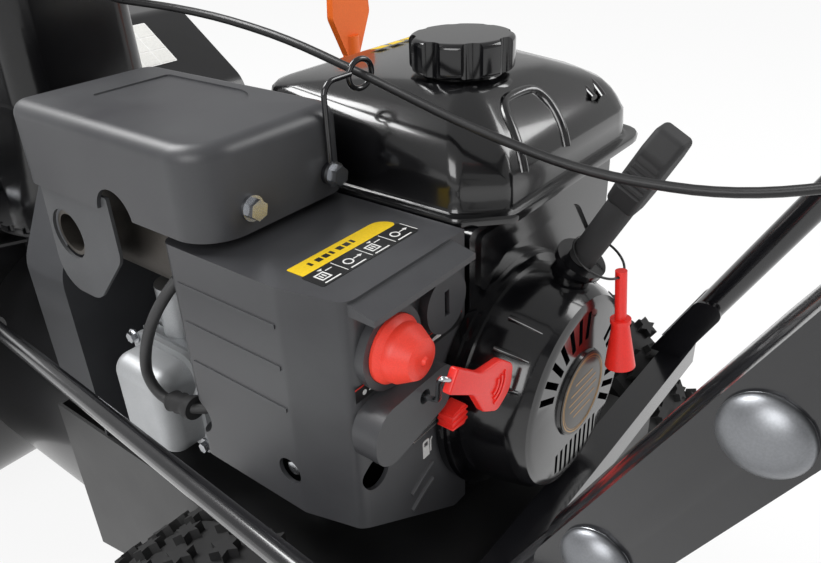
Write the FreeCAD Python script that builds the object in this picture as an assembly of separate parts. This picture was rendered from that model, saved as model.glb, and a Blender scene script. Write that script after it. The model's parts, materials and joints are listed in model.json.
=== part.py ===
import FreeCAD, Part
import math
import os

# Two stage snowblower, millimetres. +Z up, the auger housing faces -Y, the operator stands at +Y,
# +X is the machine's left. The origin lies on the ground, midway between the wheels.

V = FreeCAD.Vector

# ---------------------------------------------------------------- driving dimensions
# Fits and clearances
SHEET = 3.0                 # sheet steel of the chassis
FIT = 0.05                  # radial clearance of a shaft in its bush
GAP = 0.3                   # clearance between pieces that only stand next to each other
SWEEP_GAP = 6.0             # clearance round a turning rotor

# Wheels and axle
TYRE_RADIUS = 165.0
TYRE_WIDTH = 105.0
TYRE_BORE_RADIUS = 82.0
RIM_DISH = 3.0
HALF_TRACK = 222.0
AXLE_RADIUS = 9.5
HUB_RADIUS = 17.0

# Chassis
CHASSIS_HALF = 160.0
DECK_Z = 284.0
CHASSIS_DROP = 170.0
CHASSIS_REAR = 138.0
BULKHEAD_Y = -250.0
CROSSBAR_DEPTH = 24.0
CROSSBAR_HEIGHT = 22.0
CROSSBAR_WALL = 2.5

# Auger housing
HOUSING_HALF = 290.0
HOUSING_SHEET = 3.0
HOUSING_TOP = 558.0
HOUSING_REACH = 135.0       # from the auger axis forward to the side plates' edge
AUGER_RADIUS = 150.0
AUGER_Z = 178.0
AUGER_SHAFT_RADIUS = 11.0
FLIGHT_WIDTH = 42.0
FLIGHT_THICK = 4.0
GEARCASE_RADIUS = 42.0
WORM_RISE = 28.0            # impeller shaft above the auger shaft

# Impeller
DRUM_RADIUS = 158.0
DRUM_DEPTH = 200.0
IMPELLER_SHAFT_RADIUS = 10.0
IMPELLER_BLADES = 4
PULLEY_WIDTH = 17.0
IMPELLER_PULLEY_RADIUS = 96.0
DRIVE_PULLEY_RADIUS = 70.0
ENGINE_PULLEY_RADIUS = 34.0
BELT_THICK = 9.0

# Chute
CHUTE_X = 30.0
CHUTE_RADIUS = 72.0
CHUTE_WALL = 3.0
CHUTE_RING_Z = 430.0
CHUTE_HEIGHT = 330.0
CHUTE_LEAN = 34.0
DEFLECTOR_HEIGHT = 150.0
RING_GEAR_RADIUS = 92.0
RING_GEAR_TEETH = 30

# Engine
CRANK_X = -18.5
CRANK_RISE = 106.0          # crankshaft above the deck
RECOIL_FACE_Y = 130.0
RECOIL_DEPTH = 55.0
RECOIL_FACE_RADIUS = 71.5
RECOIL_FLANGE_RADIUS = 92.0
RECOIL_WALL = 2.5
BLOWER_DEPTH = 95.0
BLOWER_LEFT = 36.0
BLOWER_RIGHT = -172.0
CRANKCASE_LENGTH = 175.0
CRANKCASE_HALF = 95.0
CRANK_RADIUS = 10.0
ENGINE_LEFT = 161.5         # plane of the engine's left covers
VALVE_COVER_DEPTH = 36.0

# Carburettor hood
HOOD_WALL = 3.0
HOOD_RIGHT = 39.0
HOOD_FRONT_Y = -85.0
HOOD_REAR_Y = 68.0
HOOD_TOP = 528.0
HOOD_BOTTOM = 352.0
HOOD_DIP = 54.0             # how far the hood's right edge drops below its left
VISOR_REACH = 18.0
PRIMER_RADIUS = 22.0

# Tank
TANK_LEFT = 27.5
TANK_RIGHT = -194.5
TANK_REAR_Y = 78.0
TANK_FRONT_Y = -132.0
TANK_FLANGE_Z = 530.0
TANK_TOP = 600.0
TANK_WALL = 3.0
FLANGE_THICK = 5.0
CAP_RADIUS = 38.0
CAP_HEIGHT = 26.0
FILLER_RADIUS = 24.0
FILLER_HEIGHT = 12.0

# Muffler and its lid
LID_RIGHT = 38.0
LID_FRONT_Y = -242.0
LID_REAR_Y = -30.0
LID_BOTTOM = 536.0
LID_TOP = 597.0
LID_WALL = 3.0
LID_CROWN = 11.0            # round of the lid's top edge
MUFFLER_RADIUS = 48.0

# Handles
HANDLE_HALF = 238.5
HANDLE_RADIUS = 12.7
HANDLE_WALL = 1.8
HANDLE_ANGLE = 61.15        # degrees above the ground
HANDLE_FOOT_Y = 129.3       # foot of the handle's line, over the crossbar
HANDLE_LIFT = 11.0
HANDLE_LAP = 385.0          # length of the lower handle
HANDLE_KNEE = 660.0         # length up to the bend of the upper handle
GRIP_RISE = 14.0            # degrees
GRIP_REACH = 205.0
GRIP_RADIUS = 16.0
GRIP_LENGTH = 125.0
TONGUE_THICK = 5.0

# ---------------------------------------------------------------- derived places
AXLE_Z = TYRE_RADIUS
CRANK_Z = DECK_Z + CRANK_RISE
CHASSIS_BOTTOM = DECK_Z - CHASSIS_DROP
DRUM_REAR_Y = BULKHEAD_Y - 78.0
DRUM_FRONT_Y = DRUM_REAR_Y - DRUM_DEPTH
AUGER_Y = DRUM_FRONT_Y - AUGER_RADIUS - SWEEP_GAP - HOUSING_SHEET
HOUSING_RADIUS = AUGER_RADIUS + SWEEP_GAP + HOUSING_SHEET
HOUSING_FRONT_Y = AUGER_Y - HOUSING_REACH
IMPELLER_Z = AUGER_Z + WORM_RISE
IMPELLER_RADIUS = DRUM_RADIUS - HOUSING_SHEET - SWEEP_GAP
CHUTE_Y = (DRUM_REAR_Y + DRUM_FRONT_Y) / 2.0
BLOWER_REAR_Y = RECOIL_FACE_Y - RECOIL_DEPTH
BLOWER_FRONT_Y = BLOWER_REAR_Y - BLOWER_DEPTH
CRANKCASE_FRONT_Y = BLOWER_FRONT_Y - CRANKCASE_LENGTH
COS_H = math.cos(math.radians(HANDLE_ANGLE))
SIN_H = math.sin(math.radians(HANDLE_ANGLE))
CROSSBAR_Z = DECK_Z
CROSSBAR_TOP = CROSSBAR_Z + CROSSBAR_HEIGHT
HANDLE_FOOT_Z = CROSSBAR_TOP + HANDLE_LIFT


# ---------------------------------------------------------------- construction helpers
def box(x0, x1, y0, y1, z0, z1):
    return Part.makeBox(x1 - x0, y1 - y0, z1 - z0, V(x0, y0, z0))


def soft_box(x0, x1, y0, y1, z0, z1, radius):
    solid = box(x0, x1, y0, y1, z0, z1)
    return solid.makeFillet(radius, solid.Edges)


def rod(radius, start, end):
    axis = end.sub(start)
    return Part.makeCylinder(radius, axis.Length, start, axis)


def pipe(outer, inner, start, end):
    axis = end.sub(start)
    run = V(axis).normalize()
    return rod(outer, start, end).cut(rod(inner, start.sub(run), end.add(run)))


def rod_x(radius, x0, x1, y, z):
    return rod(radius, V(x0, y, z), V(x1, y, z))


def rod_y(radius, x, y0, y1, z):
    return rod(radius, V(x, y0, z), V(x, y1, z))


def rod_z(radius, x, y, z0, z1):
    return rod(radius, V(x, y, z0), V(x, y, z1))


def fuse(solids):
    body = solids[0]
    for solid in solids[1:]:
        body = body.fuse(solid)
    return body.removeSplitter()


def cut(solid, tools):
    for tool in tools:
        solid = solid.cut(tool)
    return solid


def rounded(points, radius, closed=True):
    """Polyline whose corners are arcs; radius is one value or one per point."""
    count = len(points)
    radii = radius if isinstance(radius, (list, tuple)) else [radius] * count
    starts, ends, mids = [], [], []
    for index, point in enumerate(points):
        inner = closed or 0 < index < count - 1
        if not inner or radii[index] <= 0:
            starts.append(point)
            ends.append(point)
            mids.append(None)
            continue
        back = points[index - 1].sub(point).normalize()
        ahead = points[(index + 1) % count].sub(point).normalize()
        half = back.getAngle(ahead) / 2.0
        reach = radii[index] / math.tan(half)
        middle = back.add(ahead).normalize()
        centre = point.add(middle.multiply(radii[index] / math.sin(half)))
        toward = point.sub(centre).normalize()
        starts.append(point.add(V(back).multiply(reach)))
        ends.append(point.add(V(ahead).multiply(reach)))
        mids.append(centre.add(toward.multiply(radii[index])))
    edges = []
    for index in range(count):
        if mids[index] is not None:
            edges.append(Part.Arc(starts[index], mids[index], ends[index]).toShape())
        following = (index + 1) % count
        if following == 0 and not closed:
            break
        if ends[index].distanceToPoint(starts[following]) > 1e-6:
            edges.append(Part.makeLine(ends[index], starts[following]))
    return Part.Wire(edges)


def slab(points, radius, sweep):
    return Part.Face(rounded(points, radius)).extrude(sweep)


def on_x(x, pairs):
    return [V(x, y, z) for y, z in pairs]


def on_y(y, pairs):
    return [V(x, y, z) for x, z in pairs]


def on_z(z, pairs):
    return [V(x, y, z) for x, y in pairs]


def rectangle(a0, a1, b0, b1):
    return [(a0, b0), (a1, b0), (a1, b1), (a0, b1)]


def bent_bar(points, bend, radius, bore=0.0):
    """Round bar or tube along a path with tangent bends."""
    path = rounded(points, bend, closed=False)
    start = points[0]
    along = points[1].sub(start)

    def swept(size):
        profile = Part.Wire([Part.makeCircle(size, start, along)])
        return path.makePipeShell([profile], True, True)

    bar = swept(radius)
    return bar.cut(swept(bore)) if bore > 0 else bar


def turned(pairs, origin, axis, side):
    """Solid of revolution: pairs are (distance along axis, radius)."""
    points = [origin.add(V(axis).multiply(a)).add(V(side).multiply(r)) for a, r in pairs]
    face = Part.Face(Part.makePolygon(points + [points[0]]))
    return face.revolve(origin, axis, 360)


def turned_y(pairs, x, z):
    return turned(pairs, V(x, 0, z), V(0, 1, 0), V(1, 0, 0))


def turned_x(pairs, y, z):
    return turned(pairs, V(0, y, z), V(1, 0, 0), V(0, 0, 1))


def turned_z(pairs, x, y):
    return turned(pairs, V(x, y, 0), V(0, 0, 1), V(1, 0, 0))


def spun(solid, centre, axis, count):
    """Copies of a solid evenly round an axis, the first where it is."""
    copies = []
    for index in range(count):
        copy = solid.copy()
        copy.rotate(centre, axis, 360.0 * index / count)
        copies.append(copy)
    return copies


def mirrored(solid):
    return solid.mirror(V(0, 0, 0), V(1, 0, 0))


def both_sides(solid):
    return Part.makeCompound([solid, mirrored(solid)])


def hex_bolt(base, direction, across, head, flange):
    """Flange head screw: washer flange and hexagon, standing on base."""
    out = V(direction).normalize()
    disc = rod(flange, base, base.add(V(out).multiply(head * 0.3)))
    foot = base.add(V(out).multiply(head * 0.3))
    side = out.cross(V(0.31, 0.17, 1.0)).normalize()
    corner = V(side).multiply(across / math.sqrt(3.0))
    points = []
    for index in range(6):
        turn = FreeCAD.Rotation(out, 60.0 * index)
        points.append(foot.add(turn.multVec(corner)))
    prism = Part.Face(Part.makePolygon(points + [points[0]])).extrude(V(out).multiply(head * 0.7))
    return disc.fuse(prism)


def handle_point(x, along):
    """Point on a handle's straight part, measured from its foot."""
    return V(x, HANDLE_FOOT_Y + along * COS_H, HANDLE_FOOT_Z + along * SIN_H)


# ---------------------------------------------------------------- wheels and axle
TREAD_DEPTH = 8.0
TREAD_ROWS = 3
TREAD_BLOCKS = 14
TREAD_SLOT = 13.0
BUSH_RADIUS = 16.0
BUSH_FLANGE = 24.0
BUSH_LIP = 3.0
HUB_HALF = 38.0
AXLE_OVERHANG = 8.0
PIN_RADIUS = 3.0


def tyre(x):
    half = TYRE_WIDTH / 2.0
    tread = TYRE_RADIUS - TREAD_DEPTH
    shape = [(-half * 0.62, TYRE_BORE_RADIUS), (-half, TYRE_BORE_RADIUS + 22), (-half, tread - 20),
             (-half * 0.8, tread), (half * 0.8, tread), (half, tread - 20),
             (half, TYRE_BORE_RADIUS + 22), (half * 0.62, TYRE_BORE_RADIUS)]
    radii = [0, 12, 14, 9, 9, 14, 12, 0]
    wire = rounded([V(x + a, 0, AXLE_Z + r) for a, r in shape], radii)
    carcass = Part.Face(wire).revolve(V(x, 0, AXLE_Z), V(1, 0, 0), 360)
    row = TYRE_WIDTH * 0.8 / TREAD_ROWS
    blocks = []
    for index in range(TREAD_ROWS):
        low = x - half * 0.8 + row * (index + 0.14)
        band = rod_x(TYRE_RADIUS, low, low + row * 0.72, 0, AXLE_Z)
        slots = [rod_x(tread - 2, low - 1, low + row, 0, AXLE_Z)]
        slot = box(low - 1, low + row, -TREAD_SLOT / 2, TREAD_SLOT / 2,
                   AXLE_Z + tread - 10, AXLE_Z + TYRE_RADIUS + 5)
        slot.rotate(V(x, 0, AXLE_Z), V(1, 0, 0), 180.0 / TREAD_BLOCKS * (index % 2))
        slots += spun(slot, V(x, 0, AXLE_Z), V(1, 0, 0), TREAD_BLOCKS)
        blocks.append(band.cut(Part.makeCompound(slots[1:])).cut(slots[0]))
    return fuse([carcass] + blocks)


def rim(x):
    half = TYRE_WIDTH * 0.31
    bore = AXLE_RADIUS + FIT
    lip = TYRE_BORE_RADIUS
    barrel = [(-half, lip - RIM_DISH), (-half, lip), (half, lip), (half, lip - RIM_DISH)]
    disc = [(-RIM_DISH, bore), (-RIM_DISH, 50), (-14, 64), (-14, lip - 1),
            (-14 + RIM_DISH, lip - 1), (-14 + RIM_DISH, 66), (0, 52), (0, bore)]
    hub = pipe(HUB_RADIUS, bore, V(x - HUB_HALF, 0, AXLE_Z), V(x + HUB_HALF, 0, AXLE_Z))
    parts = [hub]
    for shape in (barrel, disc):
        parts.append(turned_x([(x + a, r) for a, r in shape], 0, AXLE_Z))
    pin = rod_z(PIN_RADIUS, x + HUB_HALF - 8, 0, AXLE_Z - HUB_RADIUS - 5, AXLE_Z + HUB_RADIUS + 5)
    return fuse(parts).cut(pin)


def axle():
    reach = HALF_TRACK + HUB_HALF + AXLE_OVERHANG
    shaft = rod_x(AXLE_RADIUS, -reach, reach, 0, AXLE_Z)
    pins = []
    for x in (-HALF_TRACK - HUB_HALF + 8, HALF_TRACK + HUB_HALF - 8):
        pins.append(rod_z(PIN_RADIUS, x, 0, AXLE_Z - HUB_RADIUS - 5, AXLE_Z + HUB_RADIUS + 5))
    return fuse([shaft] + pins)


def axle_bushes():
    bushes = []
    for side in (-1, 1):
        inner = V(side * (CHASSIS_HALF - SHEET - 6), 0, AXLE_Z)
        face = V(side * CHASSIS_HALF, 0, AXLE_Z)
        outer = V(side * (CHASSIS_HALF + BUSH_LIP), 0, AXLE_Z)
        sleeve = pipe(BUSH_RADIUS, AXLE_RADIUS + FIT, inner, outer)
        lip = pipe(BUSH_FLANGE, AXLE_RADIUS + FIT, face, outer)
        bushes.append(fuse([sleeve, lip]))
    return Part.makeCompound(bushes)


# ---------------------------------------------------------------- friction drive in the chassis
HEX_RADIUS = 8.0
HEX_AHEAD = 60.0            # hexagonal shaft in front of the axle, level with the drive plate
HEX_FIT = 0.1
FRICTION_RADIUS = 60.0
FRICTION_HALF = 7.0
FRICTION_HUB = 20.0
PINION_RADIUS = 22.0
AXLE_GEAR_X = 110.0
GEAR_WIDTH = 12.0
MESH_GAP = 0.6
DRIVE_PLATE_RADIUS = 75.0
DRIVE_PLATE_THICK = 8.0
DRIVE_SHAFT_RADIUS = 10.0
BELT_ROOM = 6.0             # between the two belts
BELT_DROP = 3.0             # how deep a belt lies in its pulley
BELT_HALF = 5.3

HEX_Y = -HEX_AHEAD
DRIVE_PLATE_Y = HEX_Y - FRICTION_RADIUS - GAP
AXLE_GEAR_RADIUS = math.hypot(HEX_AHEAD, IMPELLER_Z - AXLE_Z) - PINION_RADIUS - MESH_GAP
DRIVE_BELT_Y = BULKHEAD_Y - SHEET - 8.0 - PULLEY_WIDTH / 2.0
AUGER_BELT_Y = DRIVE_BELT_Y - PULLEY_WIDTH - BELT_ROOM


def gear(radius, bore, x, y, z, teeth):
    """Spur gear across X whose tips lie on the given radius."""
    depth = 1.6 * radius / teeth
    wheel = pipe(radius, bore, V(x, y, z), V(x + GEAR_WIDTH, y, z))
    notch = rod_x(depth, x - 1, x + GEAR_WIDTH + 1, y, z + radius)
    return wheel.cut(Part.makeCompound(spun(notch, V(0, y, z), V(1, 0, 0), teeth)))


def axle_gear():
    return gear(AXLE_GEAR_RADIUS, AXLE_RADIUS, AXLE_GEAR_X, 0, AXLE_Z, 24)


def hexagon_x(radius, x0, x1, y, z):
    points = []
    for index in range(6):
        turn = math.radians(60 * index)
        points.append(V(x0, y + radius * math.cos(turn), z + radius * math.sin(turn)))
    return Part.Face(Part.makePolygon(points + [points[0]])).extrude(V(x1 - x0, 0, 0))


def hex_shaft():
    reach = CHASSIS_HALF - SHEET - GAP
    journal = HEX_RADIUS * 0.8
    bar = hexagon_x(HEX_RADIUS, -reach, reach, HEX_Y, IMPELLER_Z)
    ends = rod_x(journal, -reach - SHEET, reach + SHEET, HEX_Y, IMPELLER_Z)
    pinion = gear(PINION_RADIUS, HEX_RADIUS * 0.8, AXLE_GEAR_X, HEX_Y, IMPELLER_Z, 11)
    return fuse([bar, ends, pinion])


def friction_wheel():
    tread = [(-FRICTION_HALF, 0), (-FRICTION_HALF, FRICTION_RADIUS - 6), (-4, FRICTION_RADIUS),
             (4, FRICTION_RADIUS), (FRICTION_HALF, FRICTION_RADIUS - 6), (FRICTION_HALF, 0)]
    hub = rod_x(FRICTION_HUB, -16, 22, HEX_Y, IMPELLER_Z)
    bore = hexagon_x(HEX_RADIUS + HEX_FIT, -40, 40, HEX_Y, IMPELLER_Z)
    return fuse([turned_x(tread, HEX_Y, IMPELLER_Z), hub]).cut(bore)


def pulley(radius, bore, x, y, z):
    """V pulley across Y centred on y."""
    half = PULLEY_WIDTH / 2.0
    inner = radius - BELT_THICK - BELT_DROP
    groove = BELT_HALF + GAP
    shape = [(-half, bore), (-half, radius), (-groove - 0.8, radius), (-groove, inner),
             (groove, inner), (groove + 0.8, radius), (half, radius), (half, bore)]
    return turned(shape, V(x, y, z), V(0, 1, 0), V(1, 0, 0))


def drive_plate():
    disc = rod_y(DRIVE_PLATE_RADIUS, 0, DRIVE_PLATE_Y - DRIVE_PLATE_THICK, DRIVE_PLATE_Y, IMPELLER_Z)
    shaft = rod_y(DRIVE_SHAFT_RADIUS, 0, DRIVE_BELT_Y - PULLEY_WIDTH / 2, DRIVE_PLATE_Y - 2,
                  IMPELLER_Z)
    wheel = pulley(DRIVE_PULLEY_RADIUS, DRIVE_SHAFT_RADIUS, 0, DRIVE_BELT_Y, IMPELLER_Z)
    return fuse([disc, shaft, wheel])


def drive_bearing():
    """Flanged bearing of the drive plate on the bulkhead."""
    bore = DRIVE_SHAFT_RADIUS + FIT
    sleeve = pipe(BUSH_RADIUS, bore, V(0, BULKHEAD_Y - SHEET - BUSH_LIP, IMPELLER_Z),
                  V(0, BULKHEAD_Y + 12, IMPELLER_Z))
    lip = pipe(BUSH_FLANGE, bore, V(0, BULKHEAD_Y, IMPELLER_Z), V(0, BULKHEAD_Y + 5, IMPELLER_Z))
    return fuse([sleeve, lip])


def belt(y, lower_radius):
    """Closed V belt round the engine pulley and a lower pulley."""
    top = V(CRANK_X, y, CRANK_Z)
    low = V(0, y, IMPELLER_Z)
    small = ENGINE_PULLEY_RADIUS - BELT_DROP
    large = lower_radius - BELT_DROP
    gap = low.sub(top)
    lean = math.asin((large - small) / gap.Length)
    base = math.atan2(gap.z, gap.x)
    half = BELT_HALF

    def loop(inset):
        def at(centre, radius, turn):
            return centre.add(V(math.cos(turn), 0, math.sin(turn)).multiply(radius - inset))
        one = base + math.pi / 2 + lean
        two = base - math.pi / 2 - lean
        edges = [Part.makeLine(at(top, small, one), at(low, large, one)),
                 Part.Arc(at(low, large, one), at(low, large, base), at(low, large, two)).toShape(),
                 Part.makeLine(at(low, large, two), at(top, small, two)),
                 Part.Arc(at(top, small, two), at(top, small, base + math.pi),
                          at(top, small, one)).toShape()]
        return Part.Face(Part.Wire(edges)).extrude(V(0, 2 * half, 0))
    band = loop(0).cut(loop(BELT_THICK - GAP))
    band.translate(V(0, -half, 0))
    return band


# ---------------------------------------------------------------- chassis
CHASSIS_SLOPE = 60.0
CHEEK = 3.0
CHEEK_HEIGHT = 62.0
CHEEK_DEPTH = 30.0
FOOT_GAP = 4.0


def chassis_frame():
    left = -CHASSIS_HALF
    side = [(DRUM_REAR_Y, DECK_Z), (CHASSIS_REAR, DECK_Z), (CHASSIS_REAR, CHASSIS_BOTTOM + 90),
            (CHASSIS_REAR - CHASSIS_SLOPE, CHASSIS_BOTTOM), (BULKHEAD_Y, CHASSIS_BOTTOM),
            (DRUM_REAR_Y, CHASSIS_BOTTOM - 20)]
    shell = slab(on_x(left, side), [0, 8, 20, 30, 20, 0], V(2 * CHASSIS_HALF, 0, 0))
    inner = box(left + SHEET, -left - SHEET, BULKHEAD_Y, CHASSIS_REAR - SHEET,
                CHASSIS_BOTTOM - 50, DECK_Z - SHEET)
    bay = box(left + SHEET, -left - SHEET, DRUM_REAR_Y + SHEET, BULKHEAD_Y - SHEET,
              CHASSIS_BOTTOM - 50, DECK_Z + 10)
    shell = cut(shell, [inner, bay])
    shell = cut(shell, [rod_x(BUSH_RADIUS, left - 5, -left + 5, 0, AXLE_Z),
                        rod_x(HEX_RADIUS * 0.8 + FIT, left - 5, -left + 5, HEX_Y, IMPELLER_Z),
                        rod_y(BUSH_RADIUS, 0, BULKHEAD_Y - 10, BULKHEAD_Y + 10, IMPELLER_Z),
                        rod_y(IMPELLER_BEARING_RADIUS, 0, DRUM_REAR_Y - 5, DRUM_REAR_Y + 5,
                              IMPELLER_Z)])
    return shell


def bottom_cover():
    low = CHASSIS_BOTTOM - SHEET
    plate = box(-CHASSIS_HALF, CHASSIS_HALF, BULKHEAD_Y + 4, CHASSIS_REAR - CHASSIS_SLOPE - 34,
                low, CHASSIS_BOTTOM)
    return plate


def crossbar():
    """Transverse tube on the deck whose ends carry the handles in pairs of cheeks."""
    half = CROSSBAR_DEPTH / 2.0
    reach = HANDLE_HALF + HANDLE_RADIUS + CHEEK + GAP
    y0 = HANDLE_FOOT_Y - half
    y1 = HANDLE_FOOT_Y + half
    drop = -HANDLE_LIFT / SIN_H
    wall = CROSSBAR_WALL
    bar = box(-reach, reach, y0, y1, CROSSBAR_Z, CROSSBAR_TOP)
    bar = bar.cut(box(-reach - 1, reach + 1, y0 + wall, y1 - wall, CROSSBAR_Z + wall,
                      CROSSBAR_TOP - wall))
    cheeks = []
    offset = HANDLE_RADIUS + GAP
    for side in (-1, 1):
        for out in (-1, 1):
            x = side * HANDLE_HALF + out * (offset + CHEEK / 2.0) - CHEEK / 2.0
            foot = handle_point(x, drop - 1)
            top = handle_point(x, CHEEK_HEIGHT)
            wide = V(0, CHEEK_DEPTH / 2.0, 0)
            points = [foot.sub(wide), top.sub(wide), top.add(wide), foot.add(wide)]
            cheeks.append(slab(points, [0, 10, 10, 0], V(CHEEK, 0, 0)))
    return fuse([bar] + cheeks)


# ---------------------------------------------------------------- auger housing and rotors
IMPELLER_BEARING_RADIUS = 26.0
GROUND_GAP = 10.0
SCRAPER_DEPTH = 42.0
SCRAPER_THICK = 5.0
SHOE_THICK = 6.0
SHOE_LENGTH = 190.0
SHOE_HEIGHT = 75.0
BOLT_HEAD = 6.0
AUGER_BEARING_RADIUS = 24.0
DRUM_MOUTH = 150.0          # radius of the opening into the impeller drum
FLIGHT_END_GAP = 14.0
FLIGHT_TURNS = 0.8
SPOKE_RADIUS = 7.0
GEARCASE_HALF = 46.0
PIPE_RADIUS = 17.0
PIPE_WALL = 3.0
BLADE_THICK = 5.0
IMPELLER_HALF = 52.0
HUB_IMPELLER = 24.0


def housing_profile(offset):
    """Side outline of the housing's wrap, moved inwards by offset: bottom lip, drum, back, top."""
    radius = HOUSING_RADIUS - offset
    top = HOUSING_TOP - offset
    back = DRUM_FRONT_Y - offset
    return [(HOUSING_FRONT_Y + 20, AUGER_Z - radius), (AUGER_Y, AUGER_Z - radius),
            (back, AUGER_Z - radius), (back, HOUSING_TOP - 90), (back - 125, top),
            (HOUSING_FRONT_Y + 20, top)]


def auger_housing():
    """Wrap, side plates and impeller drum, open to the front."""
    half = HOUSING_HALF
    sheet = HOUSING_SHEET
    bends = [0, 0, HOUSING_RADIUS - 1, 40, 30, 0]
    inner_bends = [0, 0, HOUSING_RADIUS - 1 - sheet, 37, 27, 0]
    outer = slab(on_x(-half, housing_profile(0)), bends, V(2 * half, 0, 0))
    inside = housing_profile(sheet)
    inside[0] = (inside[0][0] - 1, inside[0][1])
    inside[-1] = (inside[-1][0] - 1, inside[-1][1])
    core = slab(on_x(-half + sheet, inside), inner_bends, V(2 * half - 2 * sheet, 0, 0))
    cheek = [(HOUSING_FRONT_Y, GROUND_GAP), (AUGER_Y + 40, GROUND_GAP), (DRUM_FRONT_Y, AUGER_Z),
             (DRUM_FRONT_Y, HOUSING_TOP - 90), (DRUM_FRONT_Y - 125, HOUSING_TOP),
             (HOUSING_FRONT_Y + 45, HOUSING_TOP), (HOUSING_FRONT_Y + 6, HOUSING_TOP - 120)]
    bends = [12, 60, 60, 40, 30, 60, 90]
    plates = [slab(on_x(-half, cheek), bends, V(sheet, 0, 0)),
              slab(on_x(half - sheet, cheek), bends, V(sheet, 0, 0))]
    drum = rod_y(DRUM_RADIUS, 0, DRUM_FRONT_Y - 1, DRUM_REAR_Y, IMPELLER_Z)
    neck = rod_z(CHUTE_RADIUS - CHUTE_WALL - GAP, CHUTE_X, CHUTE_Y, IMPELLER_Z, CHUTE_RING_Z)
    body = fuse([outer, drum, neck])
    body = cut(body, [core])
    throat = rod_y(DRUM_RADIUS - sheet, 0, DRUM_FRONT_Y - 40, DRUM_REAR_Y - sheet, IMPELLER_Z)
    bore = rod_z(CHUTE_RADIUS - CHUTE_WALL - GAP - sheet, CHUTE_X, CHUTE_Y, IMPELLER_Z, CHUTE_RING_Z + 1)
    body = fuse([body] + plates)
    body = cut(body, [throat, bore, rod_x(AUGER_BEARING_RADIUS * 0.6, -half - 5, half + 5,
                                          AUGER_Y, AUGER_Z),
                      rod_y(BUSH_RADIUS, 0, DRUM_REAR_Y - 10, DRUM_REAR_Y + 10, IMPELLER_Z)])
    return body


def scraper_bar():
    low = AUGER_Z - HOUSING_RADIUS
    half = HOUSING_HALF - HOUSING_SHEET - GAP
    y = HOUSING_FRONT_Y + 12
    return box(-half, half, y, y + SCRAPER_DEPTH, low - SCRAPER_THICK, low)


def skid_shoe():
    """Bent steel shoe on the side plate; its sole carries the machine's front."""
    inner = HOUSING_HALF
    rear = AUGER_Y + 40
    side = [(rear - SHOE_LENGTH, SHOE_HEIGHT), (rear - SHOE_LENGTH, 14), (rear - SHOE_LENGTH + 26, 0),
            (rear - 26, 0), (rear, 14), (rear, SHOE_HEIGHT)]
    plate = slab(on_x(inner, side), [8, 8, 8, 8, 8, 8], V(SHOE_THICK, 0, 0))
    sole = box(inner, inner + 28, rear - SHOE_LENGTH + 30, rear - 30, 0, SHOE_THICK)
    slots = []
    for shift in (-45, 45):
        y = rear - SHOE_LENGTH / 2 + shift
        slots.append(box(inner - 1, inner + SHOE_THICK + 1, y - 4.5, y + 4.5, 30, 60))
    return cut(fuse([plate, sole]), slots)


def shoe_bolts():
    rear = AUGER_Y + 40
    bolts = []
    for shift in (-45, 45):
        y = rear - SHOE_LENGTH / 2 + shift
        base = V(HOUSING_HALF + SHOE_THICK, y, 45)
        bolts.append(fuse([hex_bolt(base, V(1, 0, 0), 13, BOLT_HEAD, 10),
                           rod(4.0, V(HOUSING_HALF, y, 45), base.add(V(1, 0, 0)))]))
    return Part.makeCompound([b for bolt in bolts for b in (bolt, mirrored(bolt))])


def auger_bearings():
    half = HOUSING_HALF
    bore = AUGER_SHAFT_RADIUS + FIT
    sleeve = pipe(AUGER_BEARING_RADIUS * 0.6, bore, V(half - 14, AUGER_Y, AUGER_Z),
                  V(half + 4, AUGER_Y, AUGER_Z))
    lip = pipe(AUGER_BEARING_RADIUS, bore, V(half, AUGER_Y, AUGER_Z),
               V(half + 4, AUGER_Y, AUGER_Z))
    return both_sides(fuse([sleeve, lip]))


def gearcase():
    """Worm gear case between the two augers, carried on their shaft and the impeller's."""
    drum = rod_x(GEARCASE_RADIUS, -18, 18, AUGER_Y, AUGER_Z)
    hubs = rod_x(24, -GEARCASE_HALF, GEARCASE_HALF, AUGER_Y, AUGER_Z)
    nose = rod_y(22, 0, AUGER_Y - 44, AUGER_Y + 78, IMPELLER_Z)
    flange = rod_y(27, 0, AUGER_Y - 5, AUGER_Y + 5, IMPELLER_Z)
    body = fuse([drum, hubs, nose, flange])
    return cut(body, [rod_x(AUGER_SHAFT_RADIUS + FIT, -80, 80, AUGER_Y, AUGER_Z),
                      rod_y(IMPELLER_SHAFT_RADIUS + FIT, 0, AUGER_Y - 36, AUGER_Y + 90,
                            IMPELLER_Z)])


def auger_shaft():
    reach = HOUSING_HALF + 12
    return rod_x(AUGER_SHAFT_RADIUS, -reach, reach, AUGER_Y, AUGER_Z)


def flight(x0, x1, turns, start):
    """Ribbon flight: a band wound round the auger's axis."""
    length = x1 - x0
    middle = AUGER_RADIUS - FLIGHT_WIDTH / 2.0
    helix = Part.Wire(Part.makeHelix(length / turns, length, middle).Edges)
    half = FLIGHT_THICK / 2.0
    inner = middle - FLIGHT_WIDTH / 2.0
    corners = [V(r, 0, z) for r, z in rectangle(inner, inner + FLIGHT_WIDTH, -half, half)]
    profile = Part.makePolygon(corners + [corners[0]])
    band = helix.makePipeShell([profile], True, True)
    band.rotate(V(0, 0, 0), V(0, 0, 1), math.degrees(start))
    band.rotate(V(0, 0, 0), V(0, 1, 0), 90)
    band.translate(V(x0, AUGER_Y, AUGER_Z))
    return band


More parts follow.
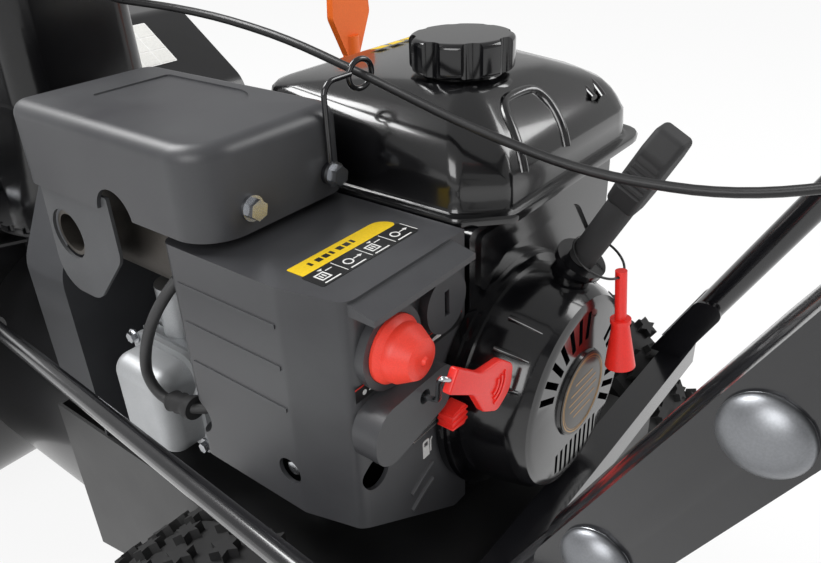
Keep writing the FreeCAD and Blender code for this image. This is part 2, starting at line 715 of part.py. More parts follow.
def spoke(x, turn):
    """Bar from the auger's tube to the middle of its ribbon."""
    reach = AUGER_RADIUS - FLIGHT_WIDTH / 2.0
    bar = rod(SPOKE_RADIUS, V(0, 0, 0), V(reach, 0, 0))
    bar.rotate(V(0, 0, 0), V(0, 0, 1), math.degrees(turn))
    bar.rotate(V(0, 0, 0), V(0, 1, 0), 90)
    bar.translate(V(x, AUGER_Y, AUGER_Z))
    return bar


def auger_left():
    """Left auger: two ribbons on a tube, held by spokes at their ends."""
    x0 = GEARCASE_HALF + 6
    x1 = HOUSING_HALF - HOUSING_SHEET - FLIGHT_END_GAP
    core = pipe(PIPE_RADIUS, AUGER_SHAFT_RADIUS, V(x0, AUGER_Y, AUGER_Z), V(x1, AUGER_Y, AUGER_Z))
    parts = [core]
    for start in (0.0, math.pi):
        ribbon_in = x0 + 8
        ribbon_out = x1 - 8
        parts.append(flight(ribbon_in, ribbon_out, FLIGHT_TURNS, start))
        for part in (0.02, 0.5, 0.98):
            turn = start + 2 * math.pi * FLIGHT_TURNS * part
            parts.append(spoke(ribbon_in + (ribbon_out - ribbon_in) * part, turn))
    body = fuse(parts)
    return body.cut(rod_x(AUGER_SHAFT_RADIUS, x0 - 20, x1 + 20, AUGER_Y, AUGER_Z))


def auger_right():
    return mirrored(auger_left())


def impeller_shaft():
    front = AUGER_Y - 34
    rear = AUGER_BELT_Y + PULLEY_WIDTH / 2.0 + 1
    return rod_y(IMPELLER_SHAFT_RADIUS, 0, front, rear, IMPELLER_Z)


def impeller():
    """Hub with bent paddles that throw the snow up the chute."""
    hub = pipe(HUB_IMPELLER, IMPELLER_SHAFT_RADIUS, V(0, CHUTE_Y - IMPELLER_HALF, IMPELLER_Z),
               V(0, CHUTE_Y + IMPELLER_HALF, IMPELLER_Z))
    low = [(HUB_IMPELLER - 4, 0), (IMPELLER_RADIUS - 26, 0), (IMPELLER_RADIUS - 6, 16)]
    high = [(IMPELLER_RADIUS - 6, 16 + BLADE_THICK + 1), (IMPELLER_RADIUS - 28, BLADE_THICK),
            (HUB_IMPELLER - 4, BLADE_THICK)]
    points = [V(x, CHUTE_Y - IMPELLER_HALF + 4, IMPELLER_Z + z) for x, z in low + high]
    blade = slab(points, 0, V(0, 2 * IMPELLER_HALF - 8, 0))
    blades = spun(blade, V(0, 0, IMPELLER_Z), V(0, 1, 0), IMPELLER_BLADES)
    plate = rod_y(IMPELLER_RADIUS * 0.7, 0, CHUTE_Y + IMPELLER_HALF - 8,
                  CHUTE_Y + IMPELLER_HALF - 4, IMPELLER_Z)
    body = fuse([hub, plate] + blades)
    return body.cut(rod_y(IMPELLER_SHAFT_RADIUS, 0, DRUM_FRONT_Y, DRUM_REAR_Y, IMPELLER_Z))


def impeller_pulley():
    return pulley(IMPELLER_PULLEY_RADIUS, IMPELLER_SHAFT_RADIUS, 0, AUGER_BELT_Y, IMPELLER_Z)


def impeller_bearing():
    bore = IMPELLER_SHAFT_RADIUS + FIT
    inner = V(0, DRUM_REAR_Y - SHEET - 8, IMPELLER_Z)
    sleeve = pipe(BUSH_RADIUS, bore, inner, V(0, DRUM_REAR_Y + SHEET + 6, IMPELLER_Z))
    lip = pipe(IMPELLER_BEARING_RADIUS, bore, V(0, DRUM_REAR_Y, IMPELLER_Z),
               V(0, DRUM_REAR_Y + SHEET + 6, IMPELLER_Z))
    return fuse([sleeve, lip])


# ---------------------------------------------------------------- belt cover and clean-out tool
COVER_HALF = 150.0
COVER_TOP = 520.0
COVER_WALL = 2.5
COVER_FRONT_GAP = 6.0
TOOL_LENGTH = 420.0
TOOL_RADIUS = 9.0


def belt_cover():
    """Plastic hood over both belts, open below and at the back where the engine shaft enters."""
    front = DRUM_REAR_Y + COVER_FRONT_GAP
    rear = BULKHEAD_Y + 4
    shape = [(-COVER_HALF, DECK_Z), (-COVER_HALF, CRANK_Z + 10), (-COVER_HALF + 75, COVER_TOP),
             (COVER_HALF - 40, COVER_TOP), (COVER_HALF, COVER_TOP - 80), (COVER_HALF, DECK_Z)]
    outer = slab(on_y(front, shape), [0, 50, 60, 40, 40, 0], V(0, rear - front, 0))
    grown = [(x - math.copysign(COVER_WALL, x), z - COVER_WALL) for x, z in shape]
    inner = slab(on_y(front + COVER_WALL, grown), [0, 48, 58, 38, 38, 0],
                 V(0, rear - front - 2 * COVER_WALL, 0))
    lip_out = [(x + math.copysign(8, x) * 1.0, z + (8 if z > DECK_Z else 0)) for x, z in shape]
    lip = slab(on_y(rear - COVER_WALL, lip_out), [0, 56, 66, 46, 46, 0], V(0, COVER_WALL, 0))
    hole = rod_y(ENGINE_PULLEY_RADIUS + 14, CRANK_X, rear - 10, rear + 10, CRANK_Z)
    return cut(fuse([outer, lip]), [inner, hole])


# ---------------------------------------------------------------- engine
FOOT_THICK = 10.0
FOOT_REACH = 16.0
ENGINE_BOLT_X = 81.0
ENGINE_BOLT_INSET = 22.0
CYLINDER_LENGTH = 44.0
FIN_COUNT = 6
FIN_THICK = 3.0
FIN_HALF = 56.0
CYLINDER_Y = -150.0
CYLINDER_DROP = 26.0        # cylinder axis below the crankshaft
HEAD_THICK = 24.0
FLYWHEEL_RADIUS = 76.0
FLYWHEEL_FINS = 14
FLYWHEEL_THICK = 34.0
BLOWER_BORE = 82.0
BLOWER_TOP_GAP = 0.6
BLOWER_STEP = 5.0           # shroud's flat back in front of the starter's seat
SCROLL_RADIUS = BLOWER_BORE + 6.0
SCROLL_REAR_Y = HOOD_REAR_Y - HOOD_WALL - 1.0
REEL_RADIUS = 52.0
REEL_WIDTH = 14.0
REEL_POST = 6.0
REEL_Y = RECOIL_FACE_Y - 22.0
GRILLE_SLOTS = 30
GRILLE_SLOT = 5.2
LOWER_SLOTS = 9
LOWER_SLOT = 3.6
LOWER_PITCH = 7.4
BADGE_RADIUS = 34.0
BADGE_RISE = 2.0

CYLINDER_Z = CRANK_Z - CYLINDER_DROP
CYLINDER_X = CRANK_X + CRANKCASE_HALF
HEAD_X = CYLINDER_X + CYLINDER_LENGTH
VALVE_COVER_X = ENGINE_LEFT - VALVE_COVER_DEPTH + 4.0
PULLEY_SHAFT_Y = AUGER_BELT_Y - PULLEY_WIDTH / 2.0 - 4.0


def crankcase():
    """Cast block with mounting feet; the crankshaft runs through it."""
    z = CRANK_Z
    half = CRANKCASE_HALF
    shape = [(-half, DECK_Z + 2 - z), (-half, 15), (-half + 30, 70), (half - 35, 84), (half, 50),
             (half, DECK_Z + 2 - z)]
    points = on_y(CRANKCASE_FRONT_Y, [(CRANK_X + x, z + dz) for x, dz in shape])
    block = slab(points, [0, 18, 24, 20, 14, 0], V(0, CRANKCASE_LENGTH, 0))
    feet = []
    for x in (-ENGINE_BOLT_X, ENGINE_BOLT_X):
        feet.append(soft_foot(CRANK_X + x))
    nose = rod_y(34, CRANK_X, CRANKCASE_FRONT_Y - 12, CRANKCASE_FRONT_Y, z)
    ribs = []
    for x in (-60, -30, 30, 60):
        ribs.append(box(CRANK_X + x - 2, CRANK_X + x + 2, CRANKCASE_FRONT_Y - 6,
                        CRANKCASE_FRONT_Y + 1, DECK_Z + 12, z + 40))
    body = fuse([block, nose] + feet + ribs)
    tools = [rod_y(CRANK_RADIUS + FIT, CRANK_X, CRANKCASE_FRONT_Y - 30, BLOWER_FRONT_Y + 5, z)]
    for x, y in engine_bolt_places():
        tools.append(rod_z(4.5, x, y, DECK_Z - 5, DECK_Z + 40))
    return cut(body, tools)


def engine_bolt_places():
    places = []
    for x in (-ENGINE_BOLT_X, ENGINE_BOLT_X):
        for y in (CRANKCASE_FRONT_Y + ENGINE_BOLT_INSET, BLOWER_FRONT_Y - ENGINE_BOLT_INSET):
            places.append((CRANK_X + x + math.copysign(FOOT_REACH + 14, x), y))
    return places


def soft_foot(x):
    half = FOOT_REACH + 26
    foot = [(x - half, CRANKCASE_FRONT_Y + 2), (x + half, CRANKCASE_FRONT_Y + 2),
            (x + half, BLOWER_FRONT_Y - 2), (x - half, BLOWER_FRONT_Y - 2)]
    return slab(on_z(DECK_Z, foot), 10, V(0, 0, FOOT_THICK))


def engine_bolts():
    bolts = []
    for x, y in engine_bolt_places():
        top = V(x, y, DECK_Z + FOOT_THICK)
        bolts.append(hex_bolt(top, V(0, 0, 1), 13, 8, 9))
    return Part.makeCompound(bolts)


def cylinder():
    """Finned barrel and head on the block's left side."""
    y = CYLINDER_Y
    z = CYLINDER_Z
    core = rod_x(36, CYLINDER_X, HEAD_X, y, z)
    pitch = CYLINDER_LENGTH / FIN_COUNT
    fins = []
    for index in range(FIN_COUNT):
        x = CYLINDER_X + pitch * (index + 0.4)
        fin = on_x(x, rectangle(y - FIN_HALF * 0.78, y + FIN_HALF, z - FIN_HALF, z + FIN_HALF))
        fins.append(slab(fin, 14, V(FIN_THICK, 0, 0)))
    head = box(HEAD_X, VALVE_COVER_X, y - FIN_HALF * 0.7, y + FIN_HALF * 0.8,
               z - FIN_HALF * 0.8, z + FIN_HALF * 0.8)
    port = rod_z(17, HEAD_X - 10, y - 8, z + 20, MUFFLER_Z - MUFFLER_RADIUS - GAP)
    return fuse([core, head, port] + fins)


def valve_cover():
    y = CYLINDER_Y - 6
    z = CYLINDER_Z - 4
    flange = slab(on_x(VALVE_COVER_X, rectangle(y - 44, y + 38, z - 46, z + 46)), 16, V(5, 0, 0))
    dome = soft_box(VALVE_COVER_X - 20, ENGINE_LEFT + 4, y - 36, y + 33, z - 40, z + 39, 15)
    keep = box(VALVE_COVER_X, ENGINE_LEFT + 10, y - 60, y + 60, z - 60, z + 60)
    return fuse([flange, dome.common(keep)])


def valve_cover_bolts():
    y = CYLINDER_Y - 6
    z = CYLINDER_Z - 4
    bolts = []
    for dy, dz in ((-39, -40), (33, -41), (-39, 40)):
        bolts.append(hex_bolt(V(VALVE_COVER_X + 5, y + dy, z + dz), V(1, 0, 0), 8, 6, 6.4))
    return Part.makeCompound(bolts)


def crankshaft():
    rear = REEL_Y - REEL_WIDTH / 2.0 - 3.0
    return rod_y(CRANK_RADIUS, CRANK_X, PULLEY_SHAFT_Y, rear, CRANK_Z)


def flywheel():
    """Fan flywheel whose vanes show through the starter's grille."""
    y0 = BLOWER_FRONT_Y + 8
    y1 = y0 + FLYWHEEL_THICK
    disc = pipe(FLYWHEEL_RADIUS, CRANK_RADIUS, V(CRANK_X, y0, CRANK_Z), V(CRANK_X, y0 + 10, CRANK_Z))
    hub = pipe(26, CRANK_RADIUS, V(CRANK_X, y0, CRANK_Z), V(CRANK_X, y1 + 4, CRANK_Z))
    vane = box(CRANK_X + 30, CRANK_X + FLYWHEEL_RADIUS - 2, y0 + 9, y1, CRANK_Z - 1.6, CRANK_Z + 1.6)
    vanes = spun(vane, V(CRANK_X, 0, CRANK_Z), V(0, 1, 0), FLYWHEEL_FINS)
    return fuse([disc, hub] + vanes)


def engine_pulley():
    """Two grooves on one sleeve."""
    parts = []
    for y in (AUGER_BELT_Y, DRIVE_BELT_Y):
        parts.append(pulley(ENGINE_PULLEY_RADIUS, CRANK_RADIUS, CRANK_X, y, CRANK_Z))
    sleeve = pipe(CRANK_RADIUS + 6, CRANK_RADIUS, V(CRANK_X, AUGER_BELT_Y, CRANK_Z),
                  V(CRANK_X, BULKHEAD_Y + 10, CRANK_Z))
    return fuse(parts + [sleeve])


def blower_housing():
    """Fan shroud between the block and the starter, bored for the flywheel."""
    low = CRANK_Z - SCROLL_RADIUS
    top = TANK_FLANGE_Z - FLANGE_THICK - BLOWER_TOP_GAP
    view = [(BLOWER_LEFT, top), (BLOWER_RIGHT, top), (BLOWER_RIGHT, CRANK_Z - 10),
            (CRANK_X - 40, low), (BLOWER_LEFT, low)]
    body = slab(on_y(BLOWER_FRONT_Y, view), [6, 14, 70, 50, 6], V(0, BLOWER_DEPTH - BLOWER_STEP, 0))
    scroll = rod_y(SCROLL_RADIUS, CRANK_X, BLOWER_FRONT_Y, SCROLL_REAR_Y, CRANK_Z)
    ridge = rod_y(RECOIL_FLANGE_RADIUS + 2, CRANK_X, HOOD_REAR_Y + 1, BLOWER_REAR_Y, CRANK_Z)
    panel = [(BLOWER_LEFT - 10, top - 6), (BLOWER_RIGHT + 12, top - 6),
             (BLOWER_RIGHT + 12, CRANK_Z + 40), (BLOWER_RIGHT + 60, CRANK_Z + 104),
             (BLOWER_LEFT - 40, CRANK_Z + 104), (BLOWER_LEFT - 10, CRANK_Z + 80)]
    raised = slab(on_y(BLOWER_REAR_Y - BLOWER_STEP - 1, panel), [5, 8, 10, 24, 24, 6], V(0, 3.5, 0))
    bore = rod_y(BLOWER_BORE, CRANK_X, BLOWER_FRONT_Y + 3, BLOWER_REAR_Y + 5, CRANK_Z)
    shaft = rod_y(CRANK_RADIUS + 3, CRANK_X, BLOWER_FRONT_Y - 5, BLOWER_REAR_Y, CRANK_Z)
    return cut(fuse([body, scroll, ridge, raised]), [bore, shaft])


def recoil_cover():
    """Starter cover: stepped dome with a radial grille, a lower louvre and a rope guide."""
    y = BLOWER_REAR_Y
    face = RECOIL_FACE_Y
    w = RECOIL_WALL
    outer = RECOIL_FLANGE_RADIUS
    face_r = RECOIL_FACE_RADIUS
    shape = [(y, outer), (y + 4, outer), (y + 4, outer - 7), (y + 24, outer - 9), (face - 10, face_r + 7),
             (face - 2, face_r + 2), (face, face_r - 4), (face, BADGE_RADIUS), (face + BADGE_RISE,
             BADGE_RADIUS - 1), (face + BADGE_RISE, 0), (face - w, 0), (face - w, face_r - 5),
             (face - 3 - w, face_r), (face - 10 - w, face_r + 7 - w), (y + 24, outer - 9 - w),
             (y, outer - 7 - w)]
    dome = turned_y(shape, CRANK_X, CRANK_Z)
    centre = V(CRANK_X, 0, CRANK_Z)
    slots = []
    slot = box(CRANK_X + 44, CRANK_X + face_r - 6, face - 20, face + 10,
               CRANK_Z - GRILLE_SLOT / 2, CRANK_Z + GRILLE_SLOT / 2)
    for index in range(GRILLE_SLOTS):
        angle = 360.0 * index / GRILLE_SLOTS
        if not (135 <= angle <= 225 or 255 <= angle <= 345):
            continue
        copy = slot.copy()
        copy.rotate(centre, V(0, 1, 0), angle)
        slots.append(copy)
    for index in range(LOWER_SLOTS):
        shift = (index - (LOWER_SLOTS - 1) / 2.0) * LOWER_PITCH
        reach = math.sqrt((face_r - 7) ** 2 - shift ** 2)
        slots.append(box(CRANK_X + shift - LOWER_SLOT / 2, CRANK_X + shift + LOWER_SLOT / 2,
                         face - 20, face + 10, CRANK_Z - reach, CRANK_Z - BADGE_RADIUS - 6))
    guide_low, guide_high = guide_ends()
    guide = rod(GUIDE_RADIUS, guide_low, guide_high)
    rim = rod(GUIDE_RADIUS + 4, guide_high.sub(V(rope_axis()).multiply(5)), guide_high)
    inside = turned_y([(y - 1, 0), (y - 1, outer - 7 - w), (y + 24, outer - 9 - w),
                       (face - 10 - w, face_r + 7 - w), (face - 3 - w, face_r), (face - w, face_r - 5),
                       (face - w, 0)], CRANK_X, CRANK_Z)
    collar = cut(fuse([guide, rim]), [inside])
    bore = rod(GUIDE_BORE, guide_low.sub(V(rope_axis()).multiply(30)),
               guide_high.add(V(rope_axis()).multiply(5)))
    post = rod_y(REEL_POST, CRANK_X, REEL_Y - REEL_WIDTH / 2.0 - 1, face - w, CRANK_Z)
    return cut(fuse([dome, collar, post]), [Part.makeCompound(slots), bore])


GUIDE_X = -47.5
GUIDE_RADIUS = 15.0
GUIDE_BORE = 5.0
GUIDE_Y = 104.0
GUIDE_TOP_Z = 482.0
ROPE_ANGLE = 61.5
GRIP_NECK = 10.0
GRIP_NECK_LENGTH = 60.0
GRIP_BULB = 15.5
GRIP_BULB_LENGTH = 56.0
GRIP_RIBS = 7
PULL_TRAVEL = 600.0


def rope_axis():
    angle = math.radians(ROPE_ANGLE)
    return V(0, math.cos(angle), math.sin(angle))


def guide_ends():
    high = V(GUIDE_X, GUIDE_Y + 6, GUIDE_TOP_Z)
    low = high.sub(V(rope_axis()).multiply(46))
    return low, high


def starter_grip():
    """Long-necked pull grip with ribs on both edges; its rope stub enters the guide."""
    foot = guide_ends()[1].add(V(rope_axis()).multiply(GAP))
    along = rope_axis()

    def at(distance):
        return foot.add(V(along).multiply(distance))
    neck = rod(GRIP_NECK, at(0), at(GRIP_NECK_LENGTH + 10))
    stub = rod(GUIDE_BORE - 1.5, at(-24), at(2))
    start = GRIP_NECK_LENGTH
    end = start + GRIP_BULB_LENGTH
    across = V(1, 0, 0)
    outline = []
    for distance, reach in ((start - 6, GRIP_NECK), (start + 12, GRIP_BULB), (end - 14, GRIP_BULB - 1),
                            (end, GRIP_BULB - 7)):
        outline.append((distance, reach))
    points = [at(d).add(V(across).multiply(r)) for d, r in outline]
    points += [at(d).sub(V(across).multiply(r)) for d, r in reversed(outline)]
    normal = along.cross(across).normalize()
    half = 11.0
    bulb = slab([p.sub(V(normal).multiply(half)) for p in points], [6, 12, 8, 6, 6, 8, 12, 6],
                V(normal).multiply(2 * half))
    bulb = bulb.makeFillet(4, [e for e in bulb.Edges if abs(e.CenterOfMass.sub(
        at((start + end) / 2)).dot(normal)) > half - 0.5])
    grooves = []
    for index in range(GRIP_RIBS):
        d = start + 12 + index * (GRIP_BULB_LENGTH - 26) / (GRIP_RIBS - 1)
        for side in (-1, 1):
            mid = at(d).add(V(across).multiply(side * (GRIP_BULB + 1.0)))
            grooves.append(rod(2.0, mid.sub(V(normal).multiply(30)), mid.add(V(normal).multiply(30))))
    return fuse([neck, stub, bulb]).cut(Part.makeCompound(grooves))


def starter_reel():
    """Rope reel on the cover's post."""
    half = REEL_WIDTH / 2.0
    bore = REEL_POST + FIT
    radius = REEL_RADIUS
    shape = [(-half, bore), (-half, radius), (-half + 3, radius), (-half + 3, radius - 16),
             (half - 3, radius - 16), (half - 3, radius), (half, radius), (half, bore)]
    return turned(shape, V(CRANK_X, REEL_Y, CRANK_Z), V(0, 1, 0), V(1, 0, 0))


# ---------------------------------------------------------------- hood, levers and ignition
PRIMER_X = 121.5
PRIMER_Z = 485.0
PRIMER_SEAT = 4.0
KEY_X = 68.5
KEY_Z = 490.0
KEY_RADIUS = 21.0
SHROUD_LOW = 412.0
SHROUD_HIGH = 458.0
SHROUD_REACH = 18.0
LEVER_X = 108.0
LEVER_Z = 446.0
LEVER_Y = 100.0
LEVER_TURN = 195.0          # direction of the paddle at rest, degrees
TAP_X = 71.0
TAP_Z = 412.0
TAP_TRAVEL = 8.0
NOTCH_Y = -78.0
NOTCH_Z = 388.0


def hood_body(inset):
    """Outer form of the carburettor hood, moved inwards by inset."""
    left = ENGINE_LEFT - inset
    right = HOOD_RIGHT + (inset if inset == 0 else -30)
    front = HOOD_FRONT_Y + inset
    rear = HOOD_REAR_Y - inset
    top = HOOD_TOP - inset
    plan = [(left, front), (left, rear - 46), (left - 10, rear), (right, rear), (right, front)]
    low = HOOD_BOTTOM - HOOD_DIP - 10
    standing = slab(on_z(low, plan), [10, 22, 9, 0, 0], V(0, 0, top - low))
    view = [(left + 5, top), (left + 5, HOOD_BOTTOM + inset), (left - 12, HOOD_BOTTOM + 5 + inset),
            (left - 108, HOOD_BOTTOM - HOOD_DIP + inset), (right, HOOD_BOTTOM - HOOD_DIP + inset),
            (right, top)]
    across = slab(on_y(front - 5, view), [0, 4, 12, 10, 0, 0], V(0, rear - front + 10, 0))
    return standing.common(across)


def carb_hood():
    body = hood_body(0).cut(hood_body(HOOD_WALL))
    rear = HOOD_REAR_Y
    visor = [(rear - 8, HOOD_TOP - 9), (rear - 8, HOOD_TOP), (rear + VISOR_REACH, HOOD_TOP - 6),
             (rear + VISOR_REACH, HOOD_TOP - 10)]
    brow = slab(on_x(HOOD_RIGHT + 14, visor), 0, V(ENGINE_LEFT - 12 - HOOD_RIGHT - 14, 0, 0))
    pad = on_y(rear - 1, [(ENGINE_LEFT - 6, SHROUD_LOW), (ENGINE_LEFT - 6, SHROUD_HIGH - 2),
                          (HOOD_RIGHT + 34, SHROUD_HIGH), (HOOD_RIGHT + 45, SHROUD_LOW + 14)])
    shroud = slab(pad, [17, 19, 12, 12], V(0, SHROUD_REACH + 1, 0))
    ring = rod_y(PRIMER_RADIUS + 5, PRIMER_X, rear - 1, rear + 6, PRIMER_Z)
    steps = []
    for z in (HOOD_TOP - 26, HOOD_TOP - 56, HOOD_TOP - 88):
        steps.append(box(ENGINE_LEFT - 1, ENGINE_LEFT + 0.8, HOOD_FRONT_Y + 12, HOOD_REAR_Y - 50,
                         z - 3, z))
    body = fuse([body, brow, shroud, ring] + steps)
    seat = rod_y(PRIMER_RADIUS + GAP, PRIMER_X, rear - HOOD_WALL - 5, rear + 10, PRIMER_Z)
    key = rod_y(KEY_RADIUS * 0.7, KEY_X, rear - HOOD_WALL - 5, rear + 5, KEY_Z)
    stem = rod_y(5, LEVER_X, rear - 20, rear + SHROUD_REACH + 5, LEVER_Z)
    tap = slab(on_y(rear - 10, rectangle(TAP_X + 4, TAP_X + 22, TAP_Z - 4, TAP_Z + 4)), 3.9,
               V(0, 20, 0))
    notch = rod_x(15, ENGINE_LEFT - 20, ENGINE_LEFT + 10, NOTCH_Y - 5, NOTCH_Z)
    dee = rod_y(12, ENGINE_LEFT - 24, rear - 10, rear + 10, SHROUD_LOW - 16)
    access = rod_x(10, ENGINE_LEFT - 14, ENGINE_LEFT + 10, 12, 385)
    fan = rod_y(SCROLL_RADIUS + GAP, CRANK_X, HOOD_FRONT_Y - 5, HOOD_REAR_Y - HOOD_WALL - GAP,
                CRANK_Z)
    block = box(HOOD_RIGHT - 5, CYLINDER_X + 3, HOOD_FRONT_Y - 5, BLOWER_FRONT_Y + 2,
                HOOD_BOTTOM - 80, CRANK_Z + 90)
    boss = rod_x(8, CYLINDER_X, ENGINE_LEFT - 1, BLOWER_FRONT_Y - 40, CRANK_Z + 10)
    return fuse([cut(body, [seat, key, stem, tap, notch, dee, access, fan, block]), boss])


def primer_bulb():
    """Rubber bulb: flange in the hood's seat, stepped dome and a nub."""
    y = HOOD_REAR_Y
    r = PRIMER_RADIUS
    shape = [(y, 0), (y, r), (y + 8, r), (y + 12, r - 3), (y + 16, r - 3), (y + 27, r - 9),
             (y + 29, r - 14), (y + 29, 3), (y + 31, 2), (y + 31, 0)]
    return turned_y(shape, PRIMER_X, PRIMER_Z)


def primer_cup():
    """Cup behind the bulb that limits its stroke."""
    y = HOOD_REAR_Y - HOOD_WALL
    outer = pipe(PRIMER_RADIUS + 4, PRIMER_RADIUS + 1.5, V(PRIMER_X, y - 16, PRIMER_Z),
                 V(PRIMER_X, y, PRIMER_Z))
    floor = rod_y(PRIMER_RADIUS + 4, PRIMER_X, y - 18, y - 16, PRIMER_Z)
    return fuse([outer, floor])


def key_socket():
    rear = HOOD_REAR_Y
    disc = rod_y(KEY_RADIUS, KEY_X, rear, rear + 7, KEY_Z)
    body = rod_y(KEY_RADIUS * 0.7 - GAP, KEY_X, rear - 24, rear + 1, KEY_Z)
    slot = box(KEY_X - 2.5, KEY_X + 2.5, rear - 8, rear + 10, KEY_Z - 9, KEY_Z + 9)
    return fuse([disc, body]).cut(slot)


def throttle_lever():
    """Stem through the hood's shroud with a long flared paddle."""
    rear = HOOD_REAR_Y + SHROUD_REACH
    stem = rod_y(5 - FIT, LEVER_X, rear - 30, LEVER_Y + 1, LEVER_Z)
    angle = math.radians(LEVER_TURN)
    along = V(math.cos(angle), 0, math.sin(angle))
    side = V(-along.z, 0, along.x)
    hub = V(LEVER_X, LEVER_Y - 4, LEVER_Z)
    outline = []
    for distance, reach in ((-7, 5), (16, 4.5), (30, 7), (48, 14)):
        outline.append((distance, reach))
    points = [hub.add(V(along).multiply(d)).add(V(side).multiply(r)) for d, r in outline]
    points += [hub.add(V(along).multiply(d)).sub(V(side).multiply(r)) for d, r in reversed(outline)]
    blade = slab(points, [4, 0, 12, 6, 6, 12, 0, 4], V(0, 7, 0))
    return fuse([stem, blade])


def fuel_tap_lever():
    rear = HOOD_REAR_Y
    stem = rod_y(3.2, TAP_X + 8, rear - 14, rear + 12, TAP_Z)
    tab = slab(on_y(rear + 12, [(TAP_X, TAP_Z - 9), (TAP_X + 16, TAP_Z - 6),
                                (TAP_X + 16, TAP_Z + 6), (TAP_X, TAP_Z + 9)]), 3, V(0, 11, 0))
    return fuse([stem, tab])


def spark_plug():
    y = NOTCH_Y - 14
    start = V(HEAD_X, y - 24, NOTCH_Z + 4)
    end = V(ENGINE_LEFT - 8, y, NOTCH_Z)
    return rod(6.5, start, end)


# ---------------------------------------------------------------- fuel tank
CAP_X = -54.5
CAP_Y = 2.0
CAP_LOBES = 8
CAP_SKIRT = 18.0
CAP_LIFT = 45.0
FLANGE_REACH = 9.0
TANK_BASE = 26.0            # how far the tank reaches below its flange


def tank_outline(z, inset):
    left = TANK_LEFT - inset
    right = TANK_RIGHT + inset
    rear = TANK_REAR_Y - inset
    front = TANK_FRONT_Y + inset
    return on_z(z, [(left, front), (left, rear - 30), (left - 26, rear), (right, rear),
                    (right, front)])


def fuel_tank():
    """Pressed steel tank: flange, sloping upper half, hollow with a filler neck."""
    bends = [30, 14, 14, 30, 30]

    def upper(inset, top):
        wires = [rounded(tank_outline(TANK_FLANGE_Z, inset), bends),
                 rounded(tank_outline(TANK_FLANGE_Z + 34 - inset / 2, inset + 2), bends),
                 rounded(tank_outline(top - 10, inset + 14), bends),
                 rounded(tank_outline(top, inset + 30), [12, 8, 8, 12, 12])]
        return Part.makeLoft(wires, True, True)
    grown = tank_outline(TANK_FLANGE_Z - FLANGE_THICK, -FLANGE_REACH)
    flange = slab(grown, [34, 20, 20, 34, 34], V(0, 0, FLANGE_THICK))
    neck = rod_z(FILLER_RADIUS + 3, CAP_X, CAP_Y, TANK_TOP - 8, TANK_TOP + FILLER_HEIGHT)
    base = slab(tank_outline(TANK_FLANGE_Z - TANK_BASE, 14), [24, 10, 10, 24, 24],
                V(0, 0, TANK_BASE))
    base = base.cut(box(BLOWER_RIGHT - 20, BLOWER_LEFT + 60, BLOWER_FRONT_Y - GAP,
                        BLOWER_REAR_Y + 40, TANK_FLANGE_Z - TANK_BASE - 5,
                        TANK_FLANGE_Z - FLANGE_THICK))
    body = fuse([upper(0, TANK_TOP), flange, base, neck])
    hollow = upper(TANK_WALL, TANK_TOP - TANK_WALL)
    bore = rod_z(FILLER_RADIUS, CAP_X, CAP_Y, TANK_FLANGE_Z + 2, TANK_TOP + 40)
    return cut(body, [hollow, bore])


def fuel_cap():
    """Lobed cap over the filler neck."""
    low = TANK_TOP + GAP
    top = low + CAP_HEIGHT
    skirt = rod_z(CAP_RADIUS, CAP_X, CAP_Y, low + 2, top)
    skirt = skirt.makeFillet(4, [skirt.Edges[0], skirt.Edges[2]])
    flute = rod_z(9, CAP_X + CAP_RADIUS + 4, CAP_Y, low - 5, top + 5)
    flutes = spun(flute, V(CAP_X, CAP_Y, 0), V(0, 0, 1), CAP_LOBES)
    well = rod_z(FILLER_RADIUS + 3 + GAP, CAP_X, CAP_Y, low - 1, TANK_TOP + FILLER_HEIGHT + GAP)
    return cut(skirt, [Part.makeCompound(flutes), well])


# ---------------------------------------------------------------- muffler and lid
EXHAUST_Y = -206.0
EXHAUST_Z = 500.0
EXHAUST_RADIUS = 20.0
PLATE_THICK = 2.5
MUFFLER_X = 92.0
MUFFLER_Z = 500.0
LID_BOLT_RISE = 16.0


def muffler_lid():
    """Moulded cover over the muffler, with an arch at its lower left edge."""
    def shell(inset):
        left = ENGINE_LEFT + 2 - inset
        plan = [(LID_RIGHT + inset, LID_FRONT_Y + inset), (left, LID_FRONT_Y + inset),
                (left, LID_REAR_Y - inset), (LID_RIGHT + inset, LID_REAR_Y - inset)]
        bends = [18 - inset, 13 - inset, 30 - inset, 18 - inset]
        low = LID_BOTTOM - (10 if inset else 0)
        solid = slab(on_z(low, plan), bends, V(0, 0, LID_TOP - inset - low))
        rim = [e for e in solid.Edges if e.BoundBox.ZMin > LID_TOP - inset - 0.1]
        return solid.makeFillet(LID_CROWN - inset, rim)
    body = shell(0)
    core = shell(LID_WALL)
    arch = rod_x(20, ENGINE_LEFT - 12, ENGINE_LEFT + 10, -128, LID_BOTTOM - 2)
    crease = on_z(LID_TOP - 1.2, [(56, -196), (122, -196), (122, -84), (56, -84)])
    panel = slab(crease, [4, 4, 32, 32], V(0, 0, 5))
    holes = [rod_y(4, x, LID_REAR_Y - 10, LID_REAR_Y + 5, LID_BOTTOM + LID_BOLT_RISE)
             for x in lid_bolt_places()]
    return cut(body, [core, arch, panel] + holes)


def lid_bolt_places():
    return (LID_RIGHT + 20, ENGINE_LEFT - 34)


